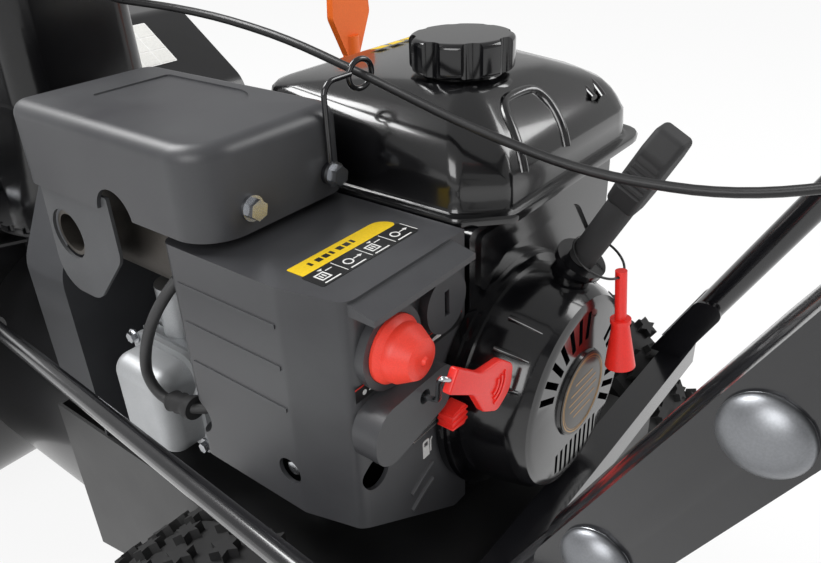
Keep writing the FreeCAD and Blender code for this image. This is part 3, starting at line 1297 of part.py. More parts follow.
def lid_bolts():
    bolts = []
    for x in lid_bolt_places():
        base = V(x, LID_REAR_Y, LID_BOTTOM + LID_BOLT_RISE)
        lift = 4.0 if x < ENGINE_LEFT / 2 else 0.0
        head = hex_bolt(base.add(V(0, lift, 0)), V(0, 1, 0), 12, 8, 8.5)
        shank = rod_y(4 - FIT, x, LID_REAR_Y - 22, LID_REAR_Y + 1 + lift, base.z)
        bolts.append(fuse([head, shank]))
    return Part.makeCompound(bolts)


def lid_bracket():
    """Angle inside the lid that its screws bite into, standing on the muffler's top."""
    z = LID_BOTTOM + LID_BOLT_RISE
    wall = box(LID_RIGHT + 15, ENGINE_LEFT - 20, LID_REAR_Y - LID_WALL - 6, LID_REAR_Y - LID_WALL - 3,
               z - 12, z + 14)
    shelf = box(LID_RIGHT + 15, ENGINE_LEFT - 20, HOOD_FRONT_Y - 20, LID_REAR_Y - LID_WALL - 3,
                z - 15, z - 12)
    holes = [rod_y(4, x, LID_REAR_Y - 30, LID_REAR_Y, z) for x in lid_bolt_places()]
    return cut(fuse([wall, shelf]), holes)


def muffler():
    """Pressed can with its outlet on the left."""
    z = MUFFLER_Z
    can = rod_y(MUFFLER_RADIUS, MUFFLER_X, LID_FRONT_Y + 14, HOOD_FRONT_Y - 6, z)
    can = can.makeFillet(10, [can.Edges[0], can.Edges[2]])
    outlet = rod_x(EXHAUST_RADIUS - 2, MUFFLER_X, ENGINE_LEFT - 4, EXHAUST_Y, EXHAUST_Z)
    bore = rod_x(EXHAUST_RADIUS - 5, MUFFLER_X + 20, ENGINE_LEFT + 4, EXHAUST_Y, EXHAUST_Z)
    return cut(fuse([can, outlet]), [bore])


def exhaust_plate():
    """Flat guard round the outlet, tucked under the lid's edge."""
    x = ENGINE_LEFT + 2 - LID_WALL
    shape = [(EXHAUST_Y - 22, LID_BOTTOM + 8), (EXHAUST_Y - 28, EXHAUST_Z - 50),
             (EXHAUST_Y + 22, EXHAUST_Z - 50), (EXHAUST_Y + 66, EXHAUST_Z - 4),
             (EXHAUST_Y + 66, LID_BOTTOM + 8)]
    plate = slab(on_x(x - PLATE_THICK, shape), [2, 24, 24, 16, 2], V(PLATE_THICK, 0, 0))
    tools = [rod_x(EXHAUST_RADIUS, x - 20, x + 5, EXHAUST_Y, EXHAUST_Z)]
    return cut(plate, tools)


# ---------------------------------------------------------------- chute and its crank
CHUTE_TOP_HALF = 60.0
CHUTE_MOUTH = 90.0          # height where the chute opens to its throwing side
RING_THICK = 6.0
CLAMP_THICK = 3.0
PIVOT_RADIUS = 4.0
PIVOT_DROP = 14.0
WORM_RADIUS = 13.0
WORM_LENGTH = 38.0
WORM_TURNS = 5
CRANK_ROD_RADIUS = 6.0
YOKE = V(CHUTE_X + 170, CHUTE_Y + 118, CHUTE_RING_Z - 23)
EYE = V(HANDLE_HALF + 40, HANDLE_FOOT_Y + 100.7, HANDLE_FOOT_Z + 176)
CRANK_ARM = 105.0
CRANK_END_Y = 470.0
KNOB_LENGTH = 90.0

CHUTE_FOOT = CHUTE_RING_Z + GAP
CHUTE_TOP = CHUTE_FOOT + CHUTE_HEIGHT


def crank_axis():
    return EYE.sub(YOKE).normalize()


def crank_end():
    along = crank_axis()
    return YOKE.add(V(along).multiply((CRANK_END_Y - YOKE.y) / along.y))


def worm_axis():
    """Unit vector from the worm to the crank's yoke, tangent to the ring gear."""
    flat = V(YOKE.x - CHUTE_X, YOKE.y - CHUTE_Y, 0)
    reach = RING_GEAR_RADIUS + WORM_RADIUS + GAP
    turn = math.atan2(flat.y, flat.x) - math.acos(reach / flat.Length)
    worm = V(CHUTE_X + reach * math.cos(turn), CHUTE_Y + reach * math.sin(turn),
             CHUTE_FOOT + RING_THICK / 2.0)
    return worm, YOKE.sub(worm).normalize()


def chute_section(z, half_x, half_y, shift, inset):
    a = half_x - inset
    b = half_y - inset
    corner = min(a, b) * (0.97 if z < CHUTE_FOOT + 20 else 0.45)
    outline = rectangle(CHUTE_X - a, CHUTE_X + a, CHUTE_Y + shift - b, CHUTE_Y + shift + b)
    return rounded(on_z(z, outline), corner)


def chute_shell(inset):
    top = CHUTE_TOP + (1 if inset else 0)
    foot = CHUTE_FOOT - (1 if inset else 0)
    wires = [chute_section(foot, CHUTE_RADIUS, CHUTE_RADIUS, 0, inset),
             chute_section(CHUTE_FOOT + CHUTE_HEIGHT * 0.35, CHUTE_RADIUS - 4, CHUTE_RADIUS - 6,
                           CHUTE_LEAN * 0.2, inset),
             chute_section(top, CHUTE_TOP_HALF, CHUTE_TOP_HALF - 8, CHUTE_LEAN * 0.6, inset)]
    return Part.makeLoft(wires, True, True)


def chute():
    """Turning chute: ring gear at its foot, ribbed trough open to the throwing side."""
    outer = chute_shell(0)
    ring = rod_z(RING_GEAR_RADIUS, CHUTE_X, CHUTE_Y, CHUTE_FOOT, CHUTE_FOOT + RING_THICK)
    notch = rod_z(4.2, CHUTE_X + RING_GEAR_RADIUS, CHUTE_Y, CHUTE_FOOT - 1,
                  CHUTE_FOOT + RING_THICK + 1)
    centre = V(CHUTE_X, CHUTE_Y, 0)
    ring = ring.cut(Part.makeCompound(spun(notch, centre, V(0, 0, 1), RING_GEAR_TEETH)))
    bands = []
    for part in (0.35, 0.7):
        z = CHUTE_FOOT + CHUTE_HEIGHT * part
        grow = CHUTE_RADIUS + 2 - 8 * part
        bands.append(slab(on_z(z, rectangle(CHUTE_X - grow, CHUTE_X + grow,
                                            CHUTE_Y + CHUTE_LEAN * 0.3 - grow + 14,
                                            CHUTE_Y + CHUTE_LEAN * part * 0.6 + grow)),
                          24, V(0, 0, 7)))
    body = fuse([outer, ring] + bands)
    mouth = box(CHUTE_X - CHUTE_RADIUS - 20, CHUTE_X + CHUTE_RADIUS + 20,
                CHUTE_Y - CHUTE_RADIUS - 40, CHUTE_Y - 12, CHUTE_FOOT + CHUTE_MOUTH, CHUTE_TOP + 20)
    pivot = deflector_pivot()
    pin = rod_x(PIVOT_RADIUS + FIT, CHUTE_X - 90, CHUTE_X + 90, pivot.y, pivot.z)
    return cut(body, [chute_shell(CHUTE_WALL), mouth, pin])


def deflector_pivot():
    return V(CHUTE_X, CHUTE_Y + CHUTE_LEAN * 0.6 + CHUTE_TOP_HALF - 34, CHUTE_TOP - PIVOT_DROP)


def deflector():
    """Hinged cap that bends the stream down: curved roof between two cheeks."""
    pivot = deflector_pivot()
    rear = CHUTE_Y + CHUTE_LEAN * 0.6 + CHUTE_TOP_HALF - 8
    rise = DEFLECTOR_HEIGHT
    half = CHUTE_TOP_HALF + 4.5
    z = CHUTE_TOP + 5
    roof = [(rear, z), (rear - 4, z + rise * 0.5), (rear - 62, z + rise), (rear - 64, z + rise - 3),
            (rear - 8, z + rise * 0.5), (rear - 4, z)]
    sheet = slab(on_x(CHUTE_X - half, roof), [0, 60, 0, 0, 57, 0], V(2 * half, 0, 0))
    side = [(pivot.y + 16, pivot.z - 12), (rear - 1, z), (rear - 5, z + rise * 0.5),
            (rear - 62, z + rise - 1), (rear - 84, z + rise * 0.55), (pivot.y - 14, pivot.z - 12)]
    bends = [10, 0, 58, 0, 30, 10]
    cheeks = []
    for x in (CHUTE_X - half - 0.01, CHUTE_X + half - 2.5 + 0.01):
        cheeks.append(slab(on_x(x, side), bends, V(2.5, 0, 0)))
    pins = [rod_x(PIVOT_RADIUS, CHUTE_X - half - 4, CHUTE_X - CHUTE_TOP_HALF + 8, pivot.y, pivot.z),
            rod_x(PIVOT_RADIUS, CHUTE_X + CHUTE_TOP_HALF - 8, CHUTE_X + half + 4, pivot.y, pivot.z)]
    return fuse([sheet] + cheeks + pins)


def chute_clamp():
    """Fixed flange on the drum's neck under the ring gear, with the worm's bracket."""
    worm, along = worm_axis()
    low = CHUTE_RING_Z - CLAMP_THICK
    inner = CHUTE_RADIUS - CHUTE_WALL - GAP
    ring = rod_z(RING_GEAR_RADIUS - 2, CHUTE_X, CHUTE_Y, low, CHUTE_RING_Z)
    half = WORM_LENGTH / 2.0 + 5
    level = V(along.x, along.y, 0).normalize()
    across = V(level.y, -level.x, 0)
    foot = V(worm.x, worm.y, low - 22)
    corners = [foot.sub(V(level).multiply(half)).sub(V(across).multiply(44)),
               foot.add(V(level).multiply(half)).sub(V(across).multiply(44)),
               foot.add(V(level).multiply(half)).add(V(across).multiply(20)),
               foot.sub(V(level).multiply(half)).add(V(across).multiply(20))]
    tray = slab(corners, [0, 0, 8, 8], V(0, 0, CLAMP_THICK))
    posts = []
    for side in (-1, 1):
        middle = worm.add(V(along).multiply(side * (half - 1.5))).sub(V(level).multiply(1.5))
        base = V(middle.x, middle.y, low - 22)
        wide = V(across).multiply(15)
        points = [base.sub(wide), base.add(wide), base.add(wide).add(V(0, 0, 52)),
                  base.sub(wide).add(V(0, 0, 52))]
        posts.append(slab(points, [0, 0, 12, 12], V(level).multiply(3.0)))
    web = slab([p for p in corners[:2]] + [corners[1].add(V(0, 0, 24)), corners[0].add(V(0, 0, 24))],
               0, V(across).multiply(3))
    body = fuse([ring, tray, web] + posts)
    bore = rod(5.0 + FIT, worm.sub(V(along).multiply(60)), worm.add(V(along).multiply(60)))
    neck = rod_z(inner, CHUTE_X, CHUTE_Y, low - 60, CHUTE_RING_Z + 60)
    return cut(body, [bore, neck])


def chute_worm():
    worm, along = worm_axis()
    half = WORM_LENGTH / 2.0
    ridges = []
    pitch = (WORM_LENGTH - 8) / WORM_TURNS
    for index in range(WORM_TURNS):
        start = worm.add(V(along).multiply(-half + 4 + pitch * (index + 0.3)))
        ridges.append(rod(WORM_RADIUS, start, start.add(V(along).multiply(pitch * 0.4))))
    core = rod(WORM_RADIUS - 5, worm.sub(V(along).multiply(half)), worm.add(V(along).multiply(half)))
    shaft = rod(5.0, worm.sub(V(along).multiply(half + 9)), YOKE.sub(V(along).multiply(12)))
    fork = rod(8.0, YOKE.sub(V(along).multiply(26)), YOKE.sub(V(along).multiply(12)))
    return fuse([core, shaft, fork] + ridges)


def crank_rod():
    """Long rod with its joint yoke in front, crank arm and turning knob behind."""
    along = crank_axis()
    end = crank_end()
    yoke = rod(9.0, YOKE.sub(V(along).multiply(8)), YOKE.add(V(along).multiply(22)))
    shaft = rod(CRANK_ROD_RADIUS, YOKE, end)
    lift = V(0, -along.z, along.y).normalize()
    arm = rod(CRANK_ROD_RADIUS, end, end.add(V(lift).multiply(CRANK_ARM)))
    elbow = Part.makeSphere(CRANK_ROD_RADIUS, end)
    corner = end.add(V(lift).multiply(CRANK_ARM))
    knee = Part.makeSphere(CRANK_ROD_RADIUS, corner)
    spindle = rod(CRANK_ROD_RADIUS - 1, corner, corner.add(V(along).multiply(KNOB_LENGTH)))
    return fuse([yoke, shaft, arm, elbow, knee, spindle])


def crank_knob():
    along = crank_axis()
    lift = V(0, -along.z, along.y).normalize()
    corner = crank_end().add(V(lift).multiply(CRANK_ARM)).add(V(along).multiply(8))
    return pipe(15.0, CRANK_ROD_RADIUS - 1 + FIT, corner, corner.add(V(along).multiply(KNOB_LENGTH - 10)))


def crank_eyebolt():
    """Eye on the left handle that carries the crank rod."""
    along = crank_axis()
    ring = pipe(13.0, CRANK_ROD_RADIUS + FIT, EYE.sub(V(along).multiply(5)),
                EYE.add(V(along).multiply(5)))
    tube_y = HANDLE_FOOT_Y + (EYE.z - HANDLE_FOOT_Z) / math.tan(math.radians(HANDLE_ANGLE))
    seat = V(HANDLE_HALF + HANDLE_RADIUS - 2, tube_y, EYE.z)
    stem = rod(5.0, seat, V(EYE.x - 9, EYE.y, EYE.z))
    return fuse([ring, stem])


# ---------------------------------------------------------------- handles and controls
TONGUE_START = 248.0
FLAT_INSET = 2.5
BOLT_ALONG = (276.0, 350.0)
DOME_RADIUS = 11.0
DOME_RISE = 5.5
PANEL_GAP = 0.4
PANEL_RISE = 46.0
CONSOLE_Y = 478.0
SHIFT_X = 40.0
CHUTE_LEVER_X = -70.0
SLOT_HALF = 8.0
LEVER_ROD = 5.0
LEVER_HEIGHT = 120.0
KNOB_RADIUS = 17.0
CLUTCH_RISE = 34.0
CLUTCH_LENGTH = 185.0
CLUTCH_ANGLE = 11.0
BRACKET_WIDTH = 26.0


def lower_handle_left():
    """Straight tube; its outer side is pressed flat where the upper handle laps it."""
    x = HANDLE_HALF
    tube = pipe(HANDLE_RADIUS, HANDLE_RADIUS - HANDLE_WALL, handle_point(x, -4),
                handle_point(x, HANDLE_LAP - 10))
    face = x + HANDLE_RADIUS - FLAT_INSET
    flat = slab([handle_point(face, TONGUE_START - 4).sub(V(0, 40, 0)),
                 handle_point(face, TONGUE_START - 4).add(V(0, 40, 0)),
                 handle_point(face, HANDLE_LAP + 40).add(V(0, 40, 0)),
                 handle_point(face, HANDLE_LAP + 40).sub(V(0, 40, 0))], 0, V(20, 0, 0))
    holes = [rod(4.0 + FIT, handle_point(x - 30, a), handle_point(x + 30, a)) for a in BOLT_ALONG]
    return cut(tube, [flat] + holes)


def knee_points(x):
    knee = handle_point(x, HANDLE_KNEE)
    rise = math.radians(GRIP_RISE)
    return knee, V(0, math.cos(rise), math.sin(rise))


def upper_handle_left():
    """Bent tube whose lower end is flattened to a tongue and bolted over the lower handle."""
    x = HANDLE_HALF
    knee, back = knee_points(x)
    points = [handle_point(x, HANDLE_LAP), knee, knee.add(V(back).multiply(GRIP_REACH))]
    tube = bent_bar(points, 90, HANDLE_RADIUS, HANDLE_RADIUS - HANDLE_WALL)
    face = x + HANDLE_RADIUS - FLAT_INSET
    slope = V(0, COS_H, SIN_H)
    wide = V(0, SIN_H, -COS_H).multiply(HANDLE_RADIUS)
    low = handle_point(face, TONGUE_START)
    high = low.add(V(slope).multiply(HANDLE_LAP + 34 - TONGUE_START))
    tongue = slab([low.sub(wide), high.sub(wide), high.add(wide), low.add(wide)],
                  [HANDLE_RADIUS - 0.2, 4, 4, HANDLE_RADIUS - 0.2], V(TONGUE_THICK, 0, 0))
    holes = [rod(4.0 + FIT, handle_point(x - 30, a), handle_point(x + 30, a)) for a in BOLT_ALONG]
    return cut(fuse([tube, tongue]), holes)


def handle_bolts():
    """Carriage bolts through the lapped handles, with nuts inside."""
    bolts = []
    face = HANDLE_HALF + HANDLE_RADIUS - FLAT_INSET + TONGUE_THICK
    for along in BOLT_ALONG:
        centre = handle_point(face, along)
        shape = [(0, 0), (0, DOME_RADIUS), (DOME_RISE * 0.45, DOME_RADIUS * 0.93),
                 (DOME_RISE * 0.85, DOME_RADIUS * 0.6), (DOME_RISE, 0)]
        dome = turned_x([(centre.x + a, r) for a, r in shape], centre.y, centre.z)
        inner = HANDLE_HALF - HANDLE_RADIUS
        shank = rod_x(4.0, inner - 8, centre.x + 1, centre.y, centre.z)
        nut = hex_bolt(V(inner, centre.y, centre.z), V(-1, 0, 0), 13, 7, 8)
        bolts.append(fuse([dome, shank, nut]))
    return Part.makeCompound([b for bolt in bolts for b in (bolt, mirrored(bolt))])


def foot_bolts():
    """Screws through the crossbar's cheeks into the handles' feet."""
    bolts = []
    for along in (22.0, 46.0):
        outer = HANDLE_HALF + HANDLE_RADIUS + GAP + CHEEK
        base = handle_point(outer, along)
        bolts.append(hex_bolt(base, V(1, 0, 0), 13, 6, 8))
    return Part.makeCompound([b for bolt in bolts for b in (bolt, mirrored(bolt))])


def grip_left():
    knee, back = knee_points(HANDLE_HALF)
    end = knee.add(V(back).multiply(GRIP_REACH))
    start = end.sub(V(back).multiply(GRIP_LENGTH))
    sleeve = pipe(GRIP_RADIUS, HANDLE_RADIUS, start, end)
    cap = rod(GRIP_RADIUS, end, end.add(V(back).multiply(4)))
    collar = pipe(GRIP_RADIUS + 3, HANDLE_RADIUS, start, start.add(V(back).multiply(6)))
    return fuse([sleeve, cap, collar])


def control_panel():
    """Moulded console between the handles with a slot for each lever."""
    tube = HANDLE_HALF - HANDLE_RADIUS - PANEL_GAP
    half = HANDLE_HALF - GRIP_RADIUS - 3 - PANEL_GAP
    knee = handle_point(0, HANDLE_KNEE)
    y = knee.y
    z = knee.z
    shape = [(y - 42, z - 86), (y + 12, z - 52), (y + 92, z - 26), (y + 96, z + 12),
             (y + 30, z + 8), (y - 46, z - 70)]
    body = slab(on_x(-half, shape), [5, 60, 10, 10, 40, 4], V(2 * half, 0, 0))
    lug = handle_point(0, HANDLE_KNEE - 58)
    body = fuse([body, rod_x(10, -tube, tube, lug.y, lug.z)])
    tools = []
    pivot = console_pivot()
    for x in (SHIFT_X, CHUTE_LEVER_X):
        tools.append(box(x - SLOT_HALF, x + SLOT_HALF, pivot.y - 34, pivot.y + 34, pivot.z - 14,
                         pivot.z + 90))
        tools.append(rod_x(PIVOT_RADIUS + FIT, x - SLOT_HALF - 8, x + SLOT_HALF + 8, pivot.y,
                           pivot.z))
    return cut(body, tools)


def console_pivot():
    knee = handle_point(0, HANDLE_KNEE)
    return V(0, knee.y + 40, knee.z - 22)


def console_lever(x, knob):
    pivot = console_pivot()
    hub = rod_x(9, x - SLOT_HALF + 1, x + SLOT_HALF - 1, pivot.y, pivot.z)
    pin = rod_x(PIVOT_RADIUS, x - SLOT_HALF - 6, x + SLOT_HALF + 6, pivot.y, pivot.z)
    stem = rod_z(LEVER_ROD, x, pivot.y, pivot.z, pivot.z + LEVER_HEIGHT)
    ball = Part.makeSphere(knob, V(x, pivot.y, pivot.z + LEVER_HEIGHT + knob * 0.6))
    return fuse([hub, pin, stem, ball])


def shift_lever():
    return console_lever(SHIFT_X, KNOB_RADIUS)


def chute_lever():
    return console_lever(CHUTE_LEVER_X, KNOB_RADIUS * 0.8)


def clutch_pivot(x):
    knee, back = knee_points(x)
    up = V(0, -back.z, back.y)
    return knee.add(V(back).multiply(34)).add(V(up).multiply(CLUTCH_RISE)), back, up


def clutch_bracket_left():
    """Two ears on a saddle round the handle."""
    x = HANDLE_HALF
    pivot, back, up = clutch_pivot(x)
    foot = pivot.sub(V(up).multiply(CLUTCH_RISE))
    half = BRACKET_WIDTH / 2.0
    saddle = pipe(HANDLE_RADIUS + 2.5, HANDLE_RADIUS, foot.sub(V(back).multiply(12)),
                  foot.add(V(back).multiply(12)))
    ears = []
    for side in (-1, 1):
        corner = V(x + side * half - (3 if side > 0 else 0), 0, 0)
        pts = [foot.sub(V(back).multiply(12)), foot.add(V(back).multiply(12)),
               pivot.add(V(back).multiply(12)).add(V(up).multiply(9)),
               pivot.sub(V(back).multiply(12)).add(V(up).multiply(9))]
        pts = [V(corner.x, p.y, p.z) for p in pts]
        ears.append(slab(pts, [0, 0, 8, 8], V(3, 0, 0)))
    web = slab([V(x - half, p.y, p.z) for p in (
        foot.sub(V(back).multiply(12)).add(V(up).multiply(HANDLE_RADIUS + 1)),
        foot.add(V(back).multiply(12)).add(V(up).multiply(HANDLE_RADIUS + 1)),
        foot.add(V(back).multiply(12)).add(V(up).multiply(HANDLE_RADIUS + 4)),
        foot.sub(V(back).multiply(12)).add(V(up).multiply(HANDLE_RADIUS + 4)))], 0,
        V(2 * half, 0, 0))
    bore = rod_x(PIVOT_RADIUS + FIT, x - 30, x + 30, pivot.y, pivot.z)
    tube = rod(HANDLE_RADIUS, foot.sub(V(back).multiply(30)), foot.add(V(back).multiply(30)))
    return cut(fuse([saddle, web] + ears), [bore, tube])


def clutch_lever_left():
    """Operator presence lever: a channel over the grip, pressed down to engage."""
    x = HANDLE_HALF
    pivot, back, up = clutch_pivot(x)
    angle = math.radians(CLUTCH_ANGLE)
    along = V(back).multiply(math.cos(angle)).add(V(up).multiply(math.sin(angle)))
    rise = along.cross(V(1, 0, 0)).normalize().multiply(-1)
    half = BRACKET_WIDTH / 2.0 - 3 - GAP
    hub = rod_x(8, x - half, x + half, pivot.y, pivot.z)
    pin = rod_x(PIVOT_RADIUS, x - half - 6, x + half + 6, pivot.y, pivot.z)

    def at(distance, lift):
        return pivot.add(V(along).multiply(distance)).add(V(rise).multiply(lift))
    profile = [at(0, -4), at(CLUTCH_LENGTH - 14, -2), at(CLUTCH_LENGTH, 8), at(CLUTCH_LENGTH - 2, 12),
               at(CLUTCH_LENGTH - 18, 4), at(0, 5)]
    bar = slab([V(x - half, p.y, p.z) for p in profile], [0, 20, 1, 1, 20, 0], V(2 * half, 0, 0))
    return fuse([hub, pin, bar])


# ---------------------------------------------------------------- cables, tag and small pieces
CABLE_RADIUS = 3.0
WIRE_RADIUS = 2.6
RING_CENTRE = V(22.0, -26.0, 611.0)
LOOP_RADIUS = 20.0
LOOP_WIRE = 0.9
CABLE_JOIN = V(26.0, -280.0, 640.0)
ANCHOR_Z = CHUTE_RING_Z + CHUTE_HEIGHT - 22.0


def cable_guide():
    """Bent wire from a lid screw up and round the control cable."""
    x = lid_bolt_places()[0]
    y = LID_REAR_Y + 2.0
    z = LID_BOTTOM + LID_BOLT_RISE
    eye = pipe(8, 4.0, V(x, LID_REAR_Y + GAP, z), V(x, LID_REAR_Y + 4.0, z))
    stem = bent_bar([V(x, y, z + 7), V(x, y, RING_CENTRE.z + 2),
                     V(RING_CENTRE.x + 10, y, RING_CENTRE.z + 2)], 10, 1.95)
    ring = Part.makeTorus(10, 1.95, V(RING_CENTRE.x, y, RING_CENTRE.z), V(0.15, 1, -0.1))
    return fuse([eye, stem, ring])


def cable_route():
    """Corners of the deflector's cable from the lever to its join behind the chute."""
    knee = handle_point(0, HANDLE_KNEE)
    return [knee.add(V(-70, 4, -65)), knee.add(V(-60, -8, -119)), knee.add(V(-34, -48, -189)),
            knee.add(V(-14, -98, -255)), V(-2, 290, 596), V(6, 220, 574), V(14, 140, 572),
            V(20, 60, 588), RING_CENTRE, V(25, -92, 628),
            V(27, -158, 637), V(27, -219, 640), CABLE_JOIN]


def chute_cable_route():
    """Corners of the cable's last length, which turns with the chute."""
    return [CABLE_JOIN.sub(V(0, GAP, 0)), V(26, -296, 640.5), V(26, -331, 652), V(27, -342, 694),
            V(28, -345, ANCHOR_Z - 0.4)]


def cable_anchor():
    """Block on the chute's back that ends the cable's sleeve."""
    return box(22, 34, CHUTE_Y + CHUTE_LEAN * 0.6 + CHUTE_TOP_HALF - 12, -340, ANCHOR_Z, ANCHOR_Z + 12)


def corded(points, radius):
    """Round cord through straight runs joined by tangent arcs."""
    bends = []
    for before, here, after in zip(points, points[1:], points[2:]):
        first = here.sub(before)
        second = after.sub(here)
        turn = first.getAngle(second)
        run = min(first.Length, second.Length)
        bends.append(0.45 * run / math.tan(turn / 2.0))
    return bent_bar(points, [0] + bends + [0], radius)


def key_tag():
    """Flat-sided safety key: eye, blade, collar and a flared foot."""
    eye = tag_eye()
    lean = V(0, 0.09, -1).normalize()
    stem = rod(4.2, eye.sub(V(lean).multiply(4)), eye.add(V(lean).multiply(36)))
    collar = rod(7.5, eye.add(V(lean).multiply(34)), eye.add(V(lean).multiply(37)))
    flare = Part.makeCone(6.0, 11.0, 36, eye.add(V(lean).multiply(37)), lean)
    hole = Part.makeTorus(LOOP_RADIUS, LOOP_WIRE + GAP, loop_centre(), rope_axis())
    return fuse([stem, collar, flare]).cut(hole)


def loop_centre():
    neck = guide_ends()[1].add(V(rope_axis()).multiply(10))
    drop = LOOP_RADIUS - LOOP_WIRE - GRIP_NECK
    return neck.add(V(0, rope_axis().z, -rope_axis().y).multiply(drop))


def tag_eye():
    return loop_centre().add(V(0, rope_axis().z, -rope_axis().y).multiply(LOOP_RADIUS))


def key_loop():
    return Part.makeTorus(LOOP_RADIUS, LOOP_WIRE, loop_centre(), rope_axis())


def cleanout_tool():
    """Stick with a flat shovel end, carried upright beside the belt cover."""
    x = -CHASSIS_HALF - 42
    y = BULKHEAD_Y + 8
    low = DECK_Z - 60
    stick = rod_z(TOOL_RADIUS, x, y, low, low + TOOL_LENGTH - 70)
    head = slab(on_y(y - 4, [(x - 9, low + TOOL_LENGTH - 90), (x - 28, low + TOOL_LENGTH - 50),
                             (x - 24, low + TOOL_LENGTH), (x + 24, low + TOOL_LENGTH),
                             (x + 28, low + TOOL_LENGTH - 50), (x + 9, low + TOOL_LENGTH - 90)]),
                [4, 12, 10, 10, 12, 4], V(0, 8, 0))
    return fuse([stick, head])


def tool_clip():
    """Steel arm from the chassis's side with two spring rings."""
    x = -CHASSIS_HALF - 42
    y = BULKHEAD_Y + 8
    arms = []
    for z in (DECK_Z - 40, DECK_Z - 10):
        ring = pipe(TOOL_RADIUS + 3, TOOL_RADIUS + FIT, V(x, y, z), V(x, y, z + 10))
        arm = box(x + TOOL_RADIUS + 1, -CHASSIS_HALF, y - 3, y + 3, z, z + 10)
        arms.append(fuse([ring, arm]))
    back = box(-CHASSIS_HALF - 3, -CHASSIS_HALF, y - 12, y + 12, DECK_Z - 50, DECK_Z + 0)
    return fuse(arms + [back])


# ---------------------------------------------------------------- assembly
def group(shapes):
    return Part.makeCompound([solid for shape in shapes for solid in shape.Solids])


def bearings():
    return group([axle_bushes(), auger_bearings(), drive_bearing(), impeller_bearing()])


def belts():
    return group([belt(DRIVE_BELT_Y, DRIVE_PULLEY_RADIUS), belt(AUGER_BELT_Y, IMPELLER_PULLEY_RADIUS)])


def fasteners():
    return group([shoe_bolts(), engine_bolts(), valve_cover_bolts(), lid_bolts(), foot_bolts(),
                  handle_bolts()])


def wheel_nodes():
    left = rim(HALF_TRACK)
    return {
        "left_tyre": tyre(HALF_TRACK), "right_tyre": tyre(-HALF_TRACK),
        "left_rim": left, "right_rim": mirrored(left),
        "axle": fuse([axle(), axle_gear()]), "hex_shaft": hex_shaft(),
        "friction_wheel": friction_wheel(), "drive_plate": drive_plate(),
        "bearings": bearings(), "belts": belts(),
    }


def frame_nodes():
    upper = upper_handle_left().fuse(clutch_bracket_left())
    lever = clutch_lever_left()
    lower = lower_handle_left()
    return {
        "chassis_frame": fuse([chassis_frame(), tool_clip()]), "bottom_cover": bottom_cover(),
        "belt_cover": belt_cover(), "cleanout_tool": cleanout_tool(),
        "lower_handles": group([crossbar(), lower, mirrored(lower), crank_eyebolt()]),
        "upper_handle_left": upper, "upper_handle_right": mirrored(upper),
        "grips": both_sides(grip_left()), "control_panel": control_panel(),
        "drive_lever": lever, "auger_lever": mirrored(lever),
        "shift_lever": shift_lever(), "chute_lever": chute_lever(), "fasteners": fasteners(),
        "cable_guide": cable_guide(),
        "deflector_cable": corded(cable_route(), CABLE_RADIUS),
        "chute_cable": corded(chute_cable_route(), CABLE_RADIUS),
    }


def auger_nodes():
    left = auger_left()
    shoe = skid_shoe()
    return {
        "auger_housing": auger_housing(), "scraper_bar": scraper_bar(),
        "skid_shoe_left": shoe, "skid_shoe_right": mirrored(shoe),
        "gearcase": gearcase(), "auger_shaft": auger_shaft(),
        "auger_left": left, "auger_right": mirrored(left),
        "impeller": fuse([impeller(), impeller_shaft(), impeller_pulley()]),
        "chute_clamp": chute_clamp(), "chute": fuse([chute(), cable_anchor()]), "deflector": deflector(),
        "chute_worm": chute_worm(), "crank_rod": group([crank_rod(), crank_knob()]),
    }


def engine_nodes():
    return {
        "engine_block": fuse([crankcase(), cylinder(), spark_plug()]),
        "valve_cover": valve_cover(),
        "crankshaft": fuse([crankshaft(), engine_pulley()]), "flywheel": flywheel(),
        "blower_housing": blower_housing(), "recoil_cover": recoil_cover(),
        "starter_reel": starter_reel(), "starter_grip": starter_grip(),
        "key_tag": key_tag(), "key_loop": key_loop(),
        "carb_hood": group([fuse([carb_hood(), primer_cup()]), key_socket()]),
        "primer_bulb": primer_bulb(), "throttle_lever": throttle_lever(),
        "fuel_tap_lever": fuel_tap_lever(), "fuel_tank": fuel_tank(), "fuel_cap": fuel_cap(),
        "muffler": group([fuse([muffler(), lid_bracket()])]), "muffler_lid": muffler_lid(),
        "exhaust_plate": exhaust_plate(),
    }


# The pieces are built about the ground point midway between the wheels, and leave with the
# origin on the ground under the middle of the whole machine.
DATUM = V(-11.35, 91.29, 0.0)


def main():
    os.makedirs("parts", exist_ok=True)
    for nodes in (wheel_nodes(), frame_nodes(), auger_nodes(), engine_nodes()):
        for name, shape in nodes.items():
            shape.translated(DATUM).exportStep("parts/" + name + ".step")


if __name__ == "__main__":
    main()
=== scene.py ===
import json
import logging
import math
from dataclasses import dataclass
from enum import Enum
from typing import Sequence

import bpy
from mathutils import Matrix, Vector


